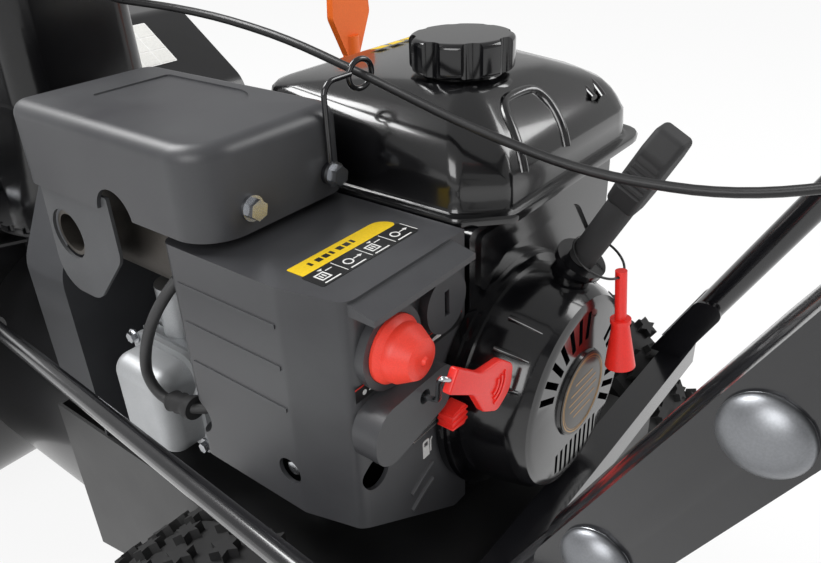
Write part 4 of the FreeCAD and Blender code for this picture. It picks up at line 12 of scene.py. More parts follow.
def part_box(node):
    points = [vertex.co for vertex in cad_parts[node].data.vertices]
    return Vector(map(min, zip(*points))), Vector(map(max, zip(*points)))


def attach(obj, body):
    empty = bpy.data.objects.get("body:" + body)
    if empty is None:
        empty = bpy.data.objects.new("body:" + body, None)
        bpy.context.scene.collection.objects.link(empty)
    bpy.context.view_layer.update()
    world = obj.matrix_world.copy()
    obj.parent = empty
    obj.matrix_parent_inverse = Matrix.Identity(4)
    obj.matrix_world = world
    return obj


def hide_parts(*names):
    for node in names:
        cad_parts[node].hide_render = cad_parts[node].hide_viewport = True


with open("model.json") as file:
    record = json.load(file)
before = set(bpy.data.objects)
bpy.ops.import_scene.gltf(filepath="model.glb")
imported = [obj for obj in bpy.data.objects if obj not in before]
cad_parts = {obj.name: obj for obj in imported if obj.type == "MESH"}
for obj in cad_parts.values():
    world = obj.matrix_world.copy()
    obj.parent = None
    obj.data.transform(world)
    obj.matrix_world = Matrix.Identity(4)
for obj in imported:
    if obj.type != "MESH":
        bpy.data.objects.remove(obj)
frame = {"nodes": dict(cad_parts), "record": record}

# Two stage snowblower: its finishes, its fine forms, the studio and the camera, in metres.

log = logging.getLogger("snowblower")
MM = 0.001
MERGE_GAP = 0.000005       # points closer than this, in metres, are one
WELD_GAP = 0.00002         # the same for the facets of the solids
LEFTWARD = (1, 0, 0)
RIGHTWARD = (-1, 0, 0)
UPWARD = (0, 0, 1)


def datum() -> Vector:
    """Ground point midway between the wheels, which every size below is measured from."""
    low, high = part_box("axle")
    return Vector(((low[0] + high[0]) / 2, (low[1] + high[1]) / 2, 0.0))


DATUM = datum()


# ------------------------------------------------------------------ finishes
def linear(code: str) -> tuple[float, float, float, float]:
    """Turn an sRGB hex code into linear colour.

    Args:
        code: Six hex digits with a leading hash sign.

    Returns:
        Linear red, green and blue with full alpha.
    """
    values = [int(code[i:i + 2], 16) / 255.0 for i in (1, 3, 5)]
    curved = [v / 12.92 if v <= 0.04045 else ((v + 0.055) / 1.055) ** 2.4 for v in values]
    return (curved[0], curved[1], curved[2], 1.0)


def add(tree: bpy.types.NodeTree, kind: str, settings: dict, inputs: dict) -> bpy.types.Node:
    """Add a node with its settings, socket values and links.

    Args:
        tree: The material's node tree.
        kind: Blender's name for the node.
        settings: Attributes of the node.
        inputs: Socket name or index to a value, or to the socket it is linked from.

    Returns:
        The new node.
    """
    node = tree.nodes.new(kind)
    for name, value in settings.items():
        setattr(node, name, value)
    for name, value in inputs.items():
        if isinstance(value, bpy.types.NodeSocket):
            tree.links.new(value, node.inputs[name])
        else:
            node.inputs[name].default_value = value
    return node


def ramp(tree: bpy.types.NodeTree, factor: bpy.types.NodeSocket,
         stops: Sequence[tuple[float, tuple]]) -> bpy.types.NodeSocket:
    """Colour ramp through the given stops; returns its colour socket."""
    node = add(tree, "ShaderNodeValToRGB", {}, {"Fac": factor})
    elements = node.color_ramp.elements
    while len(elements) < len(stops):
        elements.new(0.5)
    for element, (place, colour) in zip(elements, stops):
        element.position = place
        element.color = colour
    return node.outputs["Color"]


@dataclass(frozen=True)
class Finish:
    """A real material and the way its surface was made.

    Attributes:
        name: Plain name of the material.
        colour: Main colour as sRGB hex.
        tint: Second colour that drifts through the first.
        rough: Typical roughness.
        metallic: 1 for bare metal, 0 for the rest.
        grain: Size of the fine surface pattern in millimetres.
        depth: Height of that pattern in millimetres.
        coat: Weight of a clear glossy skin.
        stretch: How the pattern is drawn out along X, Y and Z.
        wear: Colour that shows on rubbed patches, or empty for none.
    """

    name: str
    colour: str
    tint: str
    rough: float
    metallic: float = 0.0
    grain: float = 0.8
    depth: float = 0.03
    coat: float = 0.0
    stretch: tuple[float, float, float] = (1.0, 1.0, 1.0)
    wear: str = ""

    def build(self) -> bpy.types.Material:
        """Make the procedural material."""
        made = bpy.data.materials.get(self.name)
        if made:
            return made
        made = bpy.data.materials.new(self.name)
        made.use_nodes = True
        tree = made.node_tree
        tree.nodes.clear()
        place = add(tree, "ShaderNodeTexCoord", {}, {}).outputs["Object"]
        drawn = add(tree, "ShaderNodeMapping", {}, {"Vector": place, "Scale": self.stretch})
        drawn = drawn.outputs["Vector"]
        cloud = add(tree, "ShaderNodeTexNoise", {},
                    {"Vector": place, "Scale": 14.0, "Detail": 4.0, "Roughness": 0.6})
        grain = add(tree, "ShaderNodeTexNoise", {},
                    {"Vector": drawn, "Scale": 1.0 / (self.grain * MM), "Detail": 3.0})
        colour = ramp(tree, cloud.outputs["Fac"],
                      [(0.3, linear(self.colour)), (0.72, linear(self.tint))])
        colour = add(tree, "ShaderNodeMix", {"data_type": "RGBA", "blend_type": "MULTIPLY"},
                     {"Factor": 0.35, "A": colour,
                      "B": ramp(tree, grain.outputs["Fac"],
                                [(0.35, (0.72, 0.72, 0.72, 1)), (0.65, (1, 1, 1, 1))])})
        colour = colour.outputs["Result"]
        if self.wear:
            worn = add(tree, "ShaderNodeTexNoise", {},
                       {"Vector": place, "Scale": 60.0, "Detail": 6.0, "Roughness": 0.75})
            patch = ramp(tree, worn.outputs["Fac"], [(0.66, (0, 0, 0, 1)), (0.74, (1, 1, 1, 1))])
            colour = add(tree, "ShaderNodeMix", {"data_type": "RGBA"},
                         {"Factor": patch, "A": colour, "B": linear(self.wear)}).outputs["Result"]
        rough = add(tree, "ShaderNodeMapRange", {},
                    {"Value": cloud.outputs["Fac"], "To Min": self.rough * 0.85,
                     "To Max": min(1.0, self.rough * 1.18)})
        bump = add(tree, "ShaderNodeBump", {},
                   {"Strength": 0.5, "Distance": self.depth * MM, "Height": grain.outputs["Fac"]})
        shader = add(tree, "ShaderNodeBsdfPrincipled", {},
                     {"Base Color": colour, "Roughness": rough.outputs["Result"],
                      "Metallic": self.metallic, "Normal": bump.outputs["Normal"],
                      "Coat Weight": self.coat, "Coat Roughness": 0.08})
        add(tree, "ShaderNodeOutputMaterial", {}, {"Surface": shader.outputs["BSDF"]})
        return made


# Powder coat on pressed steel: near black, even gloss with a faint orange peel.
POWDER_BLACK = Finish("powder_coat_black", "#0c0c0d", "#141416", 0.3, grain=1.6,
                      depth=0.05, coat=0.25)
# Satin coat on chassis plates: a duller black that hides the folds.
SATIN_BLACK = Finish("satin_coat_black", "#0e0e0f", "#161617", 0.42, grain=1.2, depth=0.04)
# Tube enamel: smooth gloss black with sharp highlights along the tubes.
TUBE_BLACK = Finish("tube_enamel_black", "#101012", "#18181b", 0.2, grain=2.2,
                    depth=0.015, coat=0.5)
# Tank enamel: deep black stoved gloss.
TANK_BLACK = Finish("tank_enamel_black", "#060607", "#0c0c0e", 0.2, grain=2.6,
                    depth=0.02, coat=0.6)
# Orange enamel on augers and impeller.
ORANGE_ENAMEL = Finish("orange_enamel", "#d5501a", "#c24414", 0.36, grain=1.4,
                       depth=0.04, coat=0.3)
# Filled nylon moulding: charcoal, fine grain, soft sheen.
CHARCOAL_NYLON = Finish("filled_nylon_charcoal", "#37373a", "#404143", 0.4, grain=0.6, depth=0.05)
# Polypropylene cover: a shade darker and duller.
COVER_POLY = Finish("polypropylene_cover", "#2b2c2f", "#343538", 0.56, grain=0.7, depth=0.05)
# Polished polyethylene of the chute: black, long soft reflections.
CHUTE_POLY = Finish("polished_polyethylene_black", "#070708", "#0d0d0f", 0.2, grain=3.0,
                    depth=0.03)
# Glossy ABS of the starter cover.
GLOSS_ABS = Finish("gloss_abs_black", "#08080a", "#0f0f11", 0.16, grain=2.4, depth=0.02, coat=0.3)
# Red acetal levers and key.
RED_ACETAL = Finish("acetal_red", "#e3221a", "#ee2c22", 0.36, grain=1.0, depth=0.02)
# Red silicone primer: softer and slightly cloudy.
RED_SILICONE = Finish("silicone_red", "#f03a2c", "#f64a38", 0.42, grain=0.9, depth=0.03)
# Orange polypropylene tool.
ORANGE_POLY = Finish("polypropylene_orange", "#f4701c", "#ea6414", 0.5, grain=0.8, depth=0.04)
# Textured grip rubber.
GRIP_RUBBER = Finish("grip_rubber_black", "#1c1c1d", "#262627", 0.66, grain=0.9, depth=0.12)
# Extruded cord sleeve.
SLEEVE_PVC = Finish("pvc_sleeve_black", "#131314", "#1d1d1e", 0.36, grain=1.2, depth=0.02)
# Tyre rubber: dusty matt black.
TYRE_RUBBER = Finish("tyre_rubber", "#1b1b1c", "#2a2a2a", 0.78, grain=1.0, depth=0.12)
# Rim enamel.
RIM_ENAMEL = Finish("rim_enamel_white", "#dcdcd8", "#cfcfcb", 0.34, grain=2.0,
                    depth=0.03, coat=0.3)
# Zinc plated steel: bright, faintly mottled.
ZINC_STEEL = Finish("zinc_plated_steel", "#c9cbce", "#b0b2b6", 0.26, 1.0, grain=0.6, depth=0.02)
# Dulled zinc on the handles' domed bolts.
DOME_ZINC = Finish("dulled_zinc", "#97999c", "#808286", 0.4, 1.0, grain=0.6, depth=0.03)
# Turned steel shafts.
TURNED_STEEL = Finish("turned_steel", "#7d7f82", "#6a6c6f", 0.34, 1.0, grain=0.5, depth=0.02,
                      stretch=(1.0, 12.0, 12.0))
# Heat resisting paint on the exhaust plate.
HEAT_GREY = Finish("heat_resisting_black", "#48494b", "#555658", 0.5, 0.2, grain=0.8, depth=0.04)
# Heat stained sheet steel of the muffler.
MUFFLER_SHEET = Finish("heat_stained_sheet", "#6f6b66", "#57534f", 0.5, 1.0, grain=1.2, depth=0.05)
# Die cast aluminium with a fine blasted skin.
DIE_CAST = Finish("die_cast_aluminium", "#b4b6b8", "#a0a2a4", 0.46, 1.0, grain=0.9, depth=0.09)
# Bead blasted die casting of the valve cover.
BRIGHT_CAST = Finish("bead_blasted_casting", "#b4b6b8", "#a4a6a8", 0.5, 0.5, grain=0.7, depth=0.08)
# Sand cast iron gearcase.
SAND_IRON = Finish("sand_cast_iron", "#3d3e40", "#4b4c4e", 0.62, 0.8, grain=1.4, depth=0.2)

# Label inks and films.
LABEL_YELLOW = Finish("label_film_yellow", "#e8c51a", "#dcb812", 0.45, grain=2.0, depth=0.005)
LABEL_BLACK = Finish("label_film_black", "#141415", "#1b1b1c", 0.35, grain=2.0, depth=0.005)
LABEL_WHITE = Finish("label_ink_white", "#e4e4e2", "#d8d8d6", 0.45, grain=2.0, depth=0.005)
LABEL_RED = Finish("label_ink_red", "#c8281c", "#bc2218", 0.45, grain=2.0, depth=0.005)
# Badge: satin graphite field with gilt print.
BADGE_FIELD = Finish("badge_satin_graphite", "#3a3733", "#45413c", 0.32, 0.6, grain=1.0,
                     depth=0.01)
GILT_INK = Finish("badge_gilt_print", "#b28a52", "#a37c46", 0.35, 0.7, grain=1.0, depth=0.01)
# Braided glass sleeve of the ignition lead.
BRAIDED_SLEEVE = Finish("braided_glass_sleeve", "#1a1a1b", "#3a3a3b", 0.5, grain=0.9, depth=0.4)

SLOT_FINISH = {
    "black_paint": POWDER_BLACK, "black_satin": SATIN_BLACK, "tube_black": TUBE_BLACK,
    "tank_black": TANK_BLACK, "orange_paint": ORANGE_ENAMEL, "charcoal": CHARCOAL_NYLON,
    "cover_charcoal": COVER_POLY, "chute_black": CHUTE_POLY, "starter_black": GLOSS_ABS,
    "red_plastic": RED_ACETAL, "red_rubber": RED_SILICONE, "orange_plastic": ORANGE_POLY,
    "grip_rubber": GRIP_RUBBER, "cord_black": SLEEVE_PVC, "tyre": TYRE_RUBBER,
    "rim_white": RIM_ENAMEL, "steel": ZINC_STEEL, "dark_steel": TURNED_STEEL,
    "grey_plate": HEAT_GREY, "muffler_steel": MUFFLER_SHEET, "aluminium": DIE_CAST,
    "bright_aluminium": BRIGHT_CAST, "iron": SAND_IRON, "knob_black": GLOSS_ABS,
}


# ------------------------------------------------------------------ modelling bench
class Axis(Enum):
    """Line that copies are turned about."""

    X = (1.0, 0.0, 0.0)
    Y = (0.0, 1.0, 0.0)
    Z = (0.0, 0.0, 1.0)


@dataclass
class Bench:
    """Primitives and edit-mode steps that every sub-assembly uses."""

    def clear(self) -> None:
        """Leave edit mode and deselect everything."""
        if bpy.context.object and bpy.context.object.mode != "OBJECT":
            bpy.ops.object.mode_set(mode="OBJECT")
        bpy.ops.object.select_all(action="DESELECT")

    def focus(self, piece: bpy.types.Object) -> None:
        """Make the piece the only one selected, and the active one."""
        self.clear()
        bpy.context.view_layer.objects.active = piece
        piece.select_set(True)

    def settle(self, piece: bpy.types.Object) -> bpy.types.Object:
        """Put the piece's place into its mesh, with its object at the origin."""
        self.focus(piece)
        bpy.ops.object.transform_apply(location=True, rotation=True, scale=True)
        return piece

    def block(self, name: str, low: Sequence[float], high: Sequence[float]) -> bpy.types.Object:
        """Box between two corners given in millimetres."""
        self.clear()
        middle = [(a + b) / 2 * MM for a, b in zip(low, high)]
        bpy.ops.mesh.primitive_cube_add(size=1.0, location=middle)
        piece = bpy.context.object
        piece.name = name
        piece.scale = [(b - a) * MM for a, b in zip(low, high)]
        return self.settle(piece)

    def drum(self, name: str, radius: float, start: Sequence[float], end: Sequence[float],
             sides: int = 48) -> bpy.types.Object:
        """Round bar between two points given in millimetres."""
        self.clear()
        a, b = Vector(start) * MM, Vector(end) * MM
        bpy.ops.mesh.primitive_cylinder_add(vertices=sides, radius=radius * MM,
                                            depth=(b - a).length, location=(a + b) / 2)
        piece = bpy.context.object
        piece.name = name
        piece.rotation_mode = "QUATERNION"
        piece.rotation_quaternion = (b - a).to_track_quat("Z", "Y")
        return self.settle(piece)

    def apply(self, piece: bpy.types.Object, kind: str, **settings: object) -> None:
        """Add a modifier with its settings and apply it."""
        self.focus(piece)
        step = piece.modifiers.new("step", kind)
        for name, value in settings.items():
            setattr(step, name, value)
        bpy.ops.object.modifier_apply(modifier=step.name)

    def round_edges(self, piece: bpy.types.Object, width: float, steps: int = 3,
                    angle: float = 30.0) -> None:
        """Round every edge sharper than the angle; width in millimetres."""
        self.apply(piece, "BEVEL", width=width * MM, segments=steps, limit_method="ANGLE",
                   angle_limit=math.radians(angle), miter_outer="MITER_ARC")

    def carve(self, piece: bpy.types.Object, tool: bpy.types.Object) -> None:
        """Cut a piece with a second one, which is used up."""
        self.apply(piece, "BOOLEAN", object=tool, operation="DIFFERENCE", solver="EXACT")
        bpy.data.objects.remove(tool)

    def join(self, pieces: Sequence[bpy.types.Object], name: str) -> bpy.types.Object:
        """Join several meshes into one piece."""
        self.clear()
        for piece in pieces:
            piece.select_set(True)
        bpy.context.view_layer.objects.active = pieces[0]
        if len(pieces) > 1:
            bpy.ops.object.join()
        pieces[0].name = name
        return pieces[0]

    def copies(self, piece: bpy.types.Object, count: int, centre: Sequence[float],
               axis: Axis, first: float = 0.0) -> list[bpy.types.Object]:
        """Spread copies of a piece evenly around an axis; the piece is used up.

        Args:
            piece: Piece to copy.
            count: Number of copies in the full turn.
            centre: Point on the axis in millimetres.
            axis: Direction of the axis.
            first: Turn of the first copy in degrees.

        Returns:
            The copies.
        """
        made = []
        step = 360.0 / count
        middle = Matrix.Translation(Vector(centre) * MM)
        for index in range(count):
            twin = piece.copy()
            twin.data = piece.data.copy()
            bpy.context.scene.collection.objects.link(twin)
            turn = Matrix.Rotation(math.radians(first + step * index), 4, Vector(axis.value))
            twin.data.transform(middle @ turn @ middle.inverted())
            made.append(twin)
        bpy.data.objects.remove(piece)
        return made

    def done(self, piece: bpy.types.Object, finish: Finish, body: str, slot: str,
             angle: float = 35.0) -> bpy.types.Object:
        """Smooth the piece, shift it from the datum to the frame and let it ride on its body.

        Args:
            piece: Piece as modelled, measured from the datum.
            finish: Its material.
            body: Body of the frame that carries it.
            slot: Material slot it stands for; not used.
            angle: Angle in degrees above which its edges stay sharp.

        Returns:
            The piece.
        """
        self.focus(piece)
        bpy.ops.object.shade_smooth_by_angle(angle=math.radians(angle))
        piece.data.transform(Matrix.Translation(DATUM))
        piece.data.materials.clear()
        piece.data.materials.append(finish.build())
        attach(piece, body)
        log.info("made %s on %s", piece.name, body)
        return piece


# ------------------------------------------------------------------ carried-over solids
@dataclass
class CadDress:
    """Finishes on the solids that keep their own shape.

    Attributes:
        crease: Angle in degrees above which an edge stays sharp.
    """

    crease: float = 32.0

    def dress(self, name: str, solid: bpy.types.Object, slot: str) -> None:
        """Join the solid's facets, split its creases and give it its finish."""
        solid.data.materials.clear()
        solid.data.materials.append(SLOT_FINISH[slot].build())
        solid.data.polygons.foreach_set("use_smooth", [True] * len(solid.data.polygons))
        weld = solid.modifiers.new("join", "WELD")
        weld.merge_threshold = WELD_GAP
        split = solid.modifiers.new("creases", "EDGE_SPLIT")
        split.split_angle = math.radians(self.crease)
        log.info("finished %s with %s", name, slot)

    def dress_all(self, nodes: dict, record: dict) -> None:
        """Dress every node from its material slot."""
        slots = {part["node"]: part["material_slot"] for part in record["subparts"]}
        for name, solid in nodes.items():
            self.dress(name, solid, slots[name])


# ------------------------------------------------------------------ outlines and skins
Point = tuple[float, float]


def rounded(corners: Sequence[Point], radii: Sequence[float], steps: int = 6) -> list[Point]:
    """Closed outline whose corners are arcs, with the same number of points at each corner.

    Args:
        corners: Corner points in millimetres.
        radii: One radius for each corner.
        steps: Chords in each arc.

    Returns:
        The outline's points.
    """
    made = []
    count = len(corners)
    for index, radius in enumerate(radii):
        here = Vector(corners[index])
        back = (Vector(corners[index - 1]) - here)
        ahead = (Vector(corners[(index + 1) % count]) - here)
        half = back.angle(ahead) / 2
        reach = min(radius / math.tan(half), 0.49 * min(back.length, ahead.length))
        start = here + back.normalized() * reach
        end = here + ahead.normalized() * reach
        for step in range(steps + 1):
            t = step / steps
            point = start * (1 - t) ** 2 + here * 2 * t * (1 - t) + end * t ** 2
            made.append((point.x, point.y))
    return made


def ring(radius: float, centre: Point = (0.0, 0.0), sides: int = 40) -> list[Point]:
    """Circle as an outline."""
    return [(centre[0] + radius * math.cos(math.tau * i / sides),
             centre[1] + radius * math.sin(math.tau * i / sides)) for i in range(sides)]


def bar(left: float, low: float, right: float, high: float) -> list[Point]:
    """Rectangle as an outline."""
    return [(left, low), (right, low), (right, high), (left, high)]


@dataclass(frozen=True)
class Place:
    """Where a flat outline lies.

    Attributes:
        origin: Its zero point in millimetres.
        across: Direction of its first coordinate.
        upward: Direction of its second coordinate.
    """

    origin: tuple[float, float, float]
    across: tuple[float, float, float]
    upward: tuple[float, float, float]

    def matrix(self) -> Matrix:
        """Turn and shift from the outline's plane to the machine."""
        a = Vector(self.across).normalized()
        n = a.cross(Vector(self.upward)).normalized()
        turn = Matrix((a, n.cross(a), n)).transposed().to_4x4()
        return Matrix.Translation(Vector(self.origin) * MM) @ turn


@dataclass
class Former(Bench):
    """Flat plates, round rods and skins over a stack of rings."""

    def plate(self, name: str, loops: Sequence[Sequence[Point]], place: Place, thick: float,
              edge: float = 0.0) -> bpy.types.Object:
        """Flat plate with rounded edges, standing on its place.

        Args:
            name: Name of the piece.
            loops: Outer outlines and holes in millimetres.
            place: Where the plate lies; it grows along the place's normal.
            thick: Thickness in millimetres.
            edge: Round of its edges in millimetres.

        Returns:
            The piece as a mesh.
        """
        self.clear()
        data = bpy.data.curves.new(name, "CURVE")
        data.dimensions = "2D"
        data.fill_mode = "BOTH"
        data.extrude = (thick / 2 - edge) * MM
        data.bevel_depth = edge * MM
        data.bevel_resolution = 2
        data.offset = -edge * MM
        for loop in loops:
            line = data.splines.new("POLY")
            line.points.add(len(loop) - 1)
            for point, (x, y) in zip(line.points, loop):
                point.co = (x * MM, y * MM, 0.0, 1.0)
            line.use_cyclic_u = True
        piece = self.converted(name, data)
        piece.data.transform(place.matrix() @ Matrix.Translation((0, 0, thick / 2 * MM)))
        self.merge(piece)
        return piece

    def mark(self, name: str, loops: Sequence[Sequence[Point]], place: Place, thick: float,
             finish: Finish, slot: str) -> None:
        """Thin printed or moulded mark that stays on the frame; see plate and done."""
        self.done(self.plate(name, loops, place, thick), finish, "frame", slot)

    def converted(self, name: str, data: bpy.types.Curve) -> bpy.types.Object:
        """Put a curve in the scene and make it a mesh."""
        piece = bpy.data.objects.new(name, data)
        bpy.context.scene.collection.objects.link(piece)
        bpy.context.view_layer.objects.active = piece
        piece.select_set(True)
        bpy.ops.object.convert(target="MESH")
        return bpy.context.object

    def merge(self, piece: bpy.types.Object) -> None:
        """Join doubled points and turn the faces outwards."""
        self.focus(piece)
        bpy.ops.object.mode_set(mode="EDIT")
        bpy.ops.mesh.select_all(action="SELECT")
        bpy.ops.mesh.remove_doubles(threshold=MERGE_GAP)
        bpy.ops.mesh.normals_make_consistent(inside=False)
        bpy.ops.object.mode_set(mode="OBJECT")

    def wire(self, name: str, points: Sequence[Sequence[float]],
             radius: float) -> bpy.types.Object:
        """Smooth round rod along points in millimetres, as a mesh with closed ends."""
        self.clear()
        data = bpy.data.curves.new(name, "CURVE")
        data.dimensions = "3D"
        data.bevel_depth = radius * MM
        data.bevel_resolution = 4
        data.use_fill_caps = True
        line = data.splines.new("NURBS")
        line.points.add(len(points) - 1)
        for point, co in zip(line.points, points):
            point.co = (*(c * MM for c in co), 1.0)
        line.order_u = 3
        line.use_endpoint_u = True
        line.resolution_u = 8
        piece = self.converted(name, data)
        self.merge(piece)
        return piece

    def tower(self, name: str, rings: Sequence[Sequence[Sequence[float]]]) -> bpy.types.Object:
        """Skin over closed rings of equal length: a circle extruded from ring to ring.

        Args:
            name: Name of the piece.
            rings: Rings of points in millimetres, all with the same count.

        Returns:
            The closed piece.
        """
        self.clear()
        count = len(rings[0])
        bpy.ops.mesh.primitive_circle_add(vertices=count, radius=MM, fill_type="NOTHING")
        piece = bpy.context.object
        piece.name = name
        for vertex, co in zip(piece.data.vertices, rings[0]):
            vertex.co = Vector(co) * MM
        last = [Vector(co) * MM for co in rings[0]]
        for level in rings[1:]:
            bpy.ops.object.mode_set(mode="EDIT")
            if level is rings[1]:
                bpy.ops.mesh.select_mode(type="EDGE")
                bpy.ops.mesh.select_all(action="SELECT")
            bpy.ops.mesh.extrude_edges_move()
            bpy.ops.object.mode_set(mode="OBJECT")
            fresh = [v for v in piece.data.vertices if v.index >= len(piece.data.vertices) - count]
            target = [Vector(co) * MM for co in level]
            for vertex in fresh:
                near = min(range(count), key=lambda i: (last[i] - vertex.co).length_squared)
                vertex.co = target[near]
            last = target
        if rings[-1] is not rings[0]:
            bpy.ops.object.mode_set(mode="EDIT")
            bpy.ops.mesh.select_mode(type="VERT")
            bpy.ops.mesh.select_all(action="DESELECT")
            bpy.ops.mesh.select_non_manifold()
            bpy.ops.mesh.edge_face_add()
            bpy.ops.object.mode_set(mode="OBJECT")
        self.merge(piece)
        return piece


# ------------------------------------------------------------------ fuel tank
@dataclass
class Tank:
    """Pressed steel tank: beaded flange, upright sides, crowned top with ribs."""

    bench: Former
    left: float = 27.5
    right: float = -194.5
    rear: float = 78.0
    front: float = -132.0
    flange: float = 530.0
    cap: Point = (-54.5, 2.0)
    top: float = 600.0

    def brow(self, y: float) -> float:
        """Height of the crown's edge: level at the front, falling towards the rear."""
        t = min(1.0, max(0.0, (y + 60.0) / 138.0))
        return self.top - 1.0 - 36.0 * t * t * (3 - 2 * t)

    def level(self, inset: float, rise: float, pull: float = 0.0) -> list[tuple]:
        """One ring of the shell.

        Args:
            inset: Distance inside the tank's plan.
            rise: Up to 0, millimetres under the flange; up to 1, share of the side; up to 2,
                one more than the share of the crown.
            pull: Share of the way towards the filler.

        Returns:
            The ring's points.
        """
        left, right = self.left - inset, self.right + inset
        rear, front = self.rear - inset, self.front + inset
        cut = max(4.0, 26.0 - inset * 0.3)
        corners = [(left, front), (left, rear - cut), (left - cut, rear),
                   (right, rear), (right, front)]
        middle = ((self.left + self.right) / 2, (self.rear + self.front) / 2)
        shift = [(self.cap[i] - middle[i]) * pull for i in (0, 1)]
        soft = 14.0 + inset * 0.15
        flat = rounded(corners, [30.0, soft, soft, 30.0, 30.0])
        made = []
        for x, y in flat:
            edge = self.brow(y) - 8.0
            if rise <= 0.0:
                z = self.flange + rise
            elif rise <= 1.0:
                z = self.flange + (edge - self.flange) * rise
            else:
                z = edge + (self.top - edge) * (rise - 1.0)
            made.append((x + shift[0], y + shift[1], z))
        return made

    def shell(self) -> bpy.types.Object:
        """Flange bead, sides and crown in one skin, without the filler neck."""
        z = self.flange
        steps = [(14, -26, 0), (14, -7, 0), (-6, -7, 0), (-9, -5, 0), (-9.4, -1.5, 0),
                 (-8.4, 0.02, 0), (-5, 0.04, 0), (-3, 0.01, 0), (-1, 0.03, 0), (0, 0.1, 0),
                 (0.4, 0.5, 0), (1.0, 0.86, 0), (2.4, 0.97, 0), (5, 1.12, 0), (9, 1.27, 0),
                 (15, 1.42, 0.02), (26, 1.56, 0.1), (40, 1.72, 0.3), (52, 1.86, 0.45),
                 (66, 1.95, 0.75), (80, 1.97, 1.0), (88, 1.97, 1.0)]
        piece = self.bench.tower("tank_shell", [self.level(i, h, p) for i, h, p in steps])
        block = self.bench.block("tank_block", (-192.0, -20.3, z - 32), (96.0, 115.0, z - 7.5))
        self.bench.carve(piece, block)
        return piece

    def neck(self) -> bpy.types.Object:
        """Filler neck under the cap, with its dished seat."""
        x, y = self.cap
        steps = [(40, -8), (38, -4.5), (36, -3.2), (33, -3.4), (30, -2.5), (28.5, 0), (27.2, 4),
                 (27.0, 12.0), (24.2, 12.0), (24.0, -4.0)]
        rings = [[(px, py, self.top + lift) for px, py in ring(radius, (x, y), 56)]
                 for radius, lift in steps]
        return self.bench.tower("tank_neck", rings)

    def ribs(self) -> list[bpy.types.Object]:
        """Pressed ribs on the rear slope and along the right shoulder."""
        u = [(-18, 77.2, 551), (-19, 75.8, 554.4), (-20, 73.2, 560.8), (-22, 69.2, 567.8),
             (-25, 63.8, 575), (-30, 56, 582), (-36, 49, 587.6), (-44, 46, 589.6),
             (-70, 46, 589.6),
             (-79, 49, 587.6), (-82, 56, 582), (-81, 63.8, 575), (-80, 69.2, 567.8),
             (-79, 73.2, 560.8), (-78, 75.8, 554.4), (-77, 77.2, 551)]
        long = [(-158, -84, 582.5), (-162, -62, 582.2), (-163, 10, 581), (-160, 44, 579),
                (-150, 62, 575), (-142, 73, 569)]
        short = [(-146, -84, 583), (-150, -60, 583.5), (-151, 10, 582.5), (-148, 40, 580.5),
                 (-139, 56, 577), (-132, 70, 571)]
        made = [self.bench.wire("tank_rib_u", [(x, y - 0.8, z - 1.6) for x, y, z in u], 4.2)]
        made.append(self.bench.wire("tank_rib_long", long, 3.0))
        made.append(self.bench.wire("tank_rib_short", short, 2.6))
        return made

    def patches(self) -> list[bpy.types.Object]:
        """Plain yellow patches along the front shoulder."""
        made = []
        for index in range(4):
            place = Place((-85.0 - 20.5 * index, -104.0, 597.4), (-1, 0, 0), (0, -1, -0.13))
            low, high = (0, 3) if index % 2 else (3, 0)
            shape = [(low, 0), (16, 0), (16, 9), (high, 9)]
            made.append(self.bench.plate("tank_patch_%d" % index, [shape], place, 0.3))
        return made

    def build(self) -> None:
        """Build the tank and put its finishes on."""
        whole = self.bench.join([self.shell(), self.neck()] + self.ribs(), "tank_body")
        self.bench.done(whole, TANK_BLACK, "frame", "tank_black", 40)
        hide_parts("fuel_tank")
        marks = self.bench.join(self.patches(), "tank_patches")
        self.bench.done(marks, LABEL_YELLOW, "frame", "tank_black")


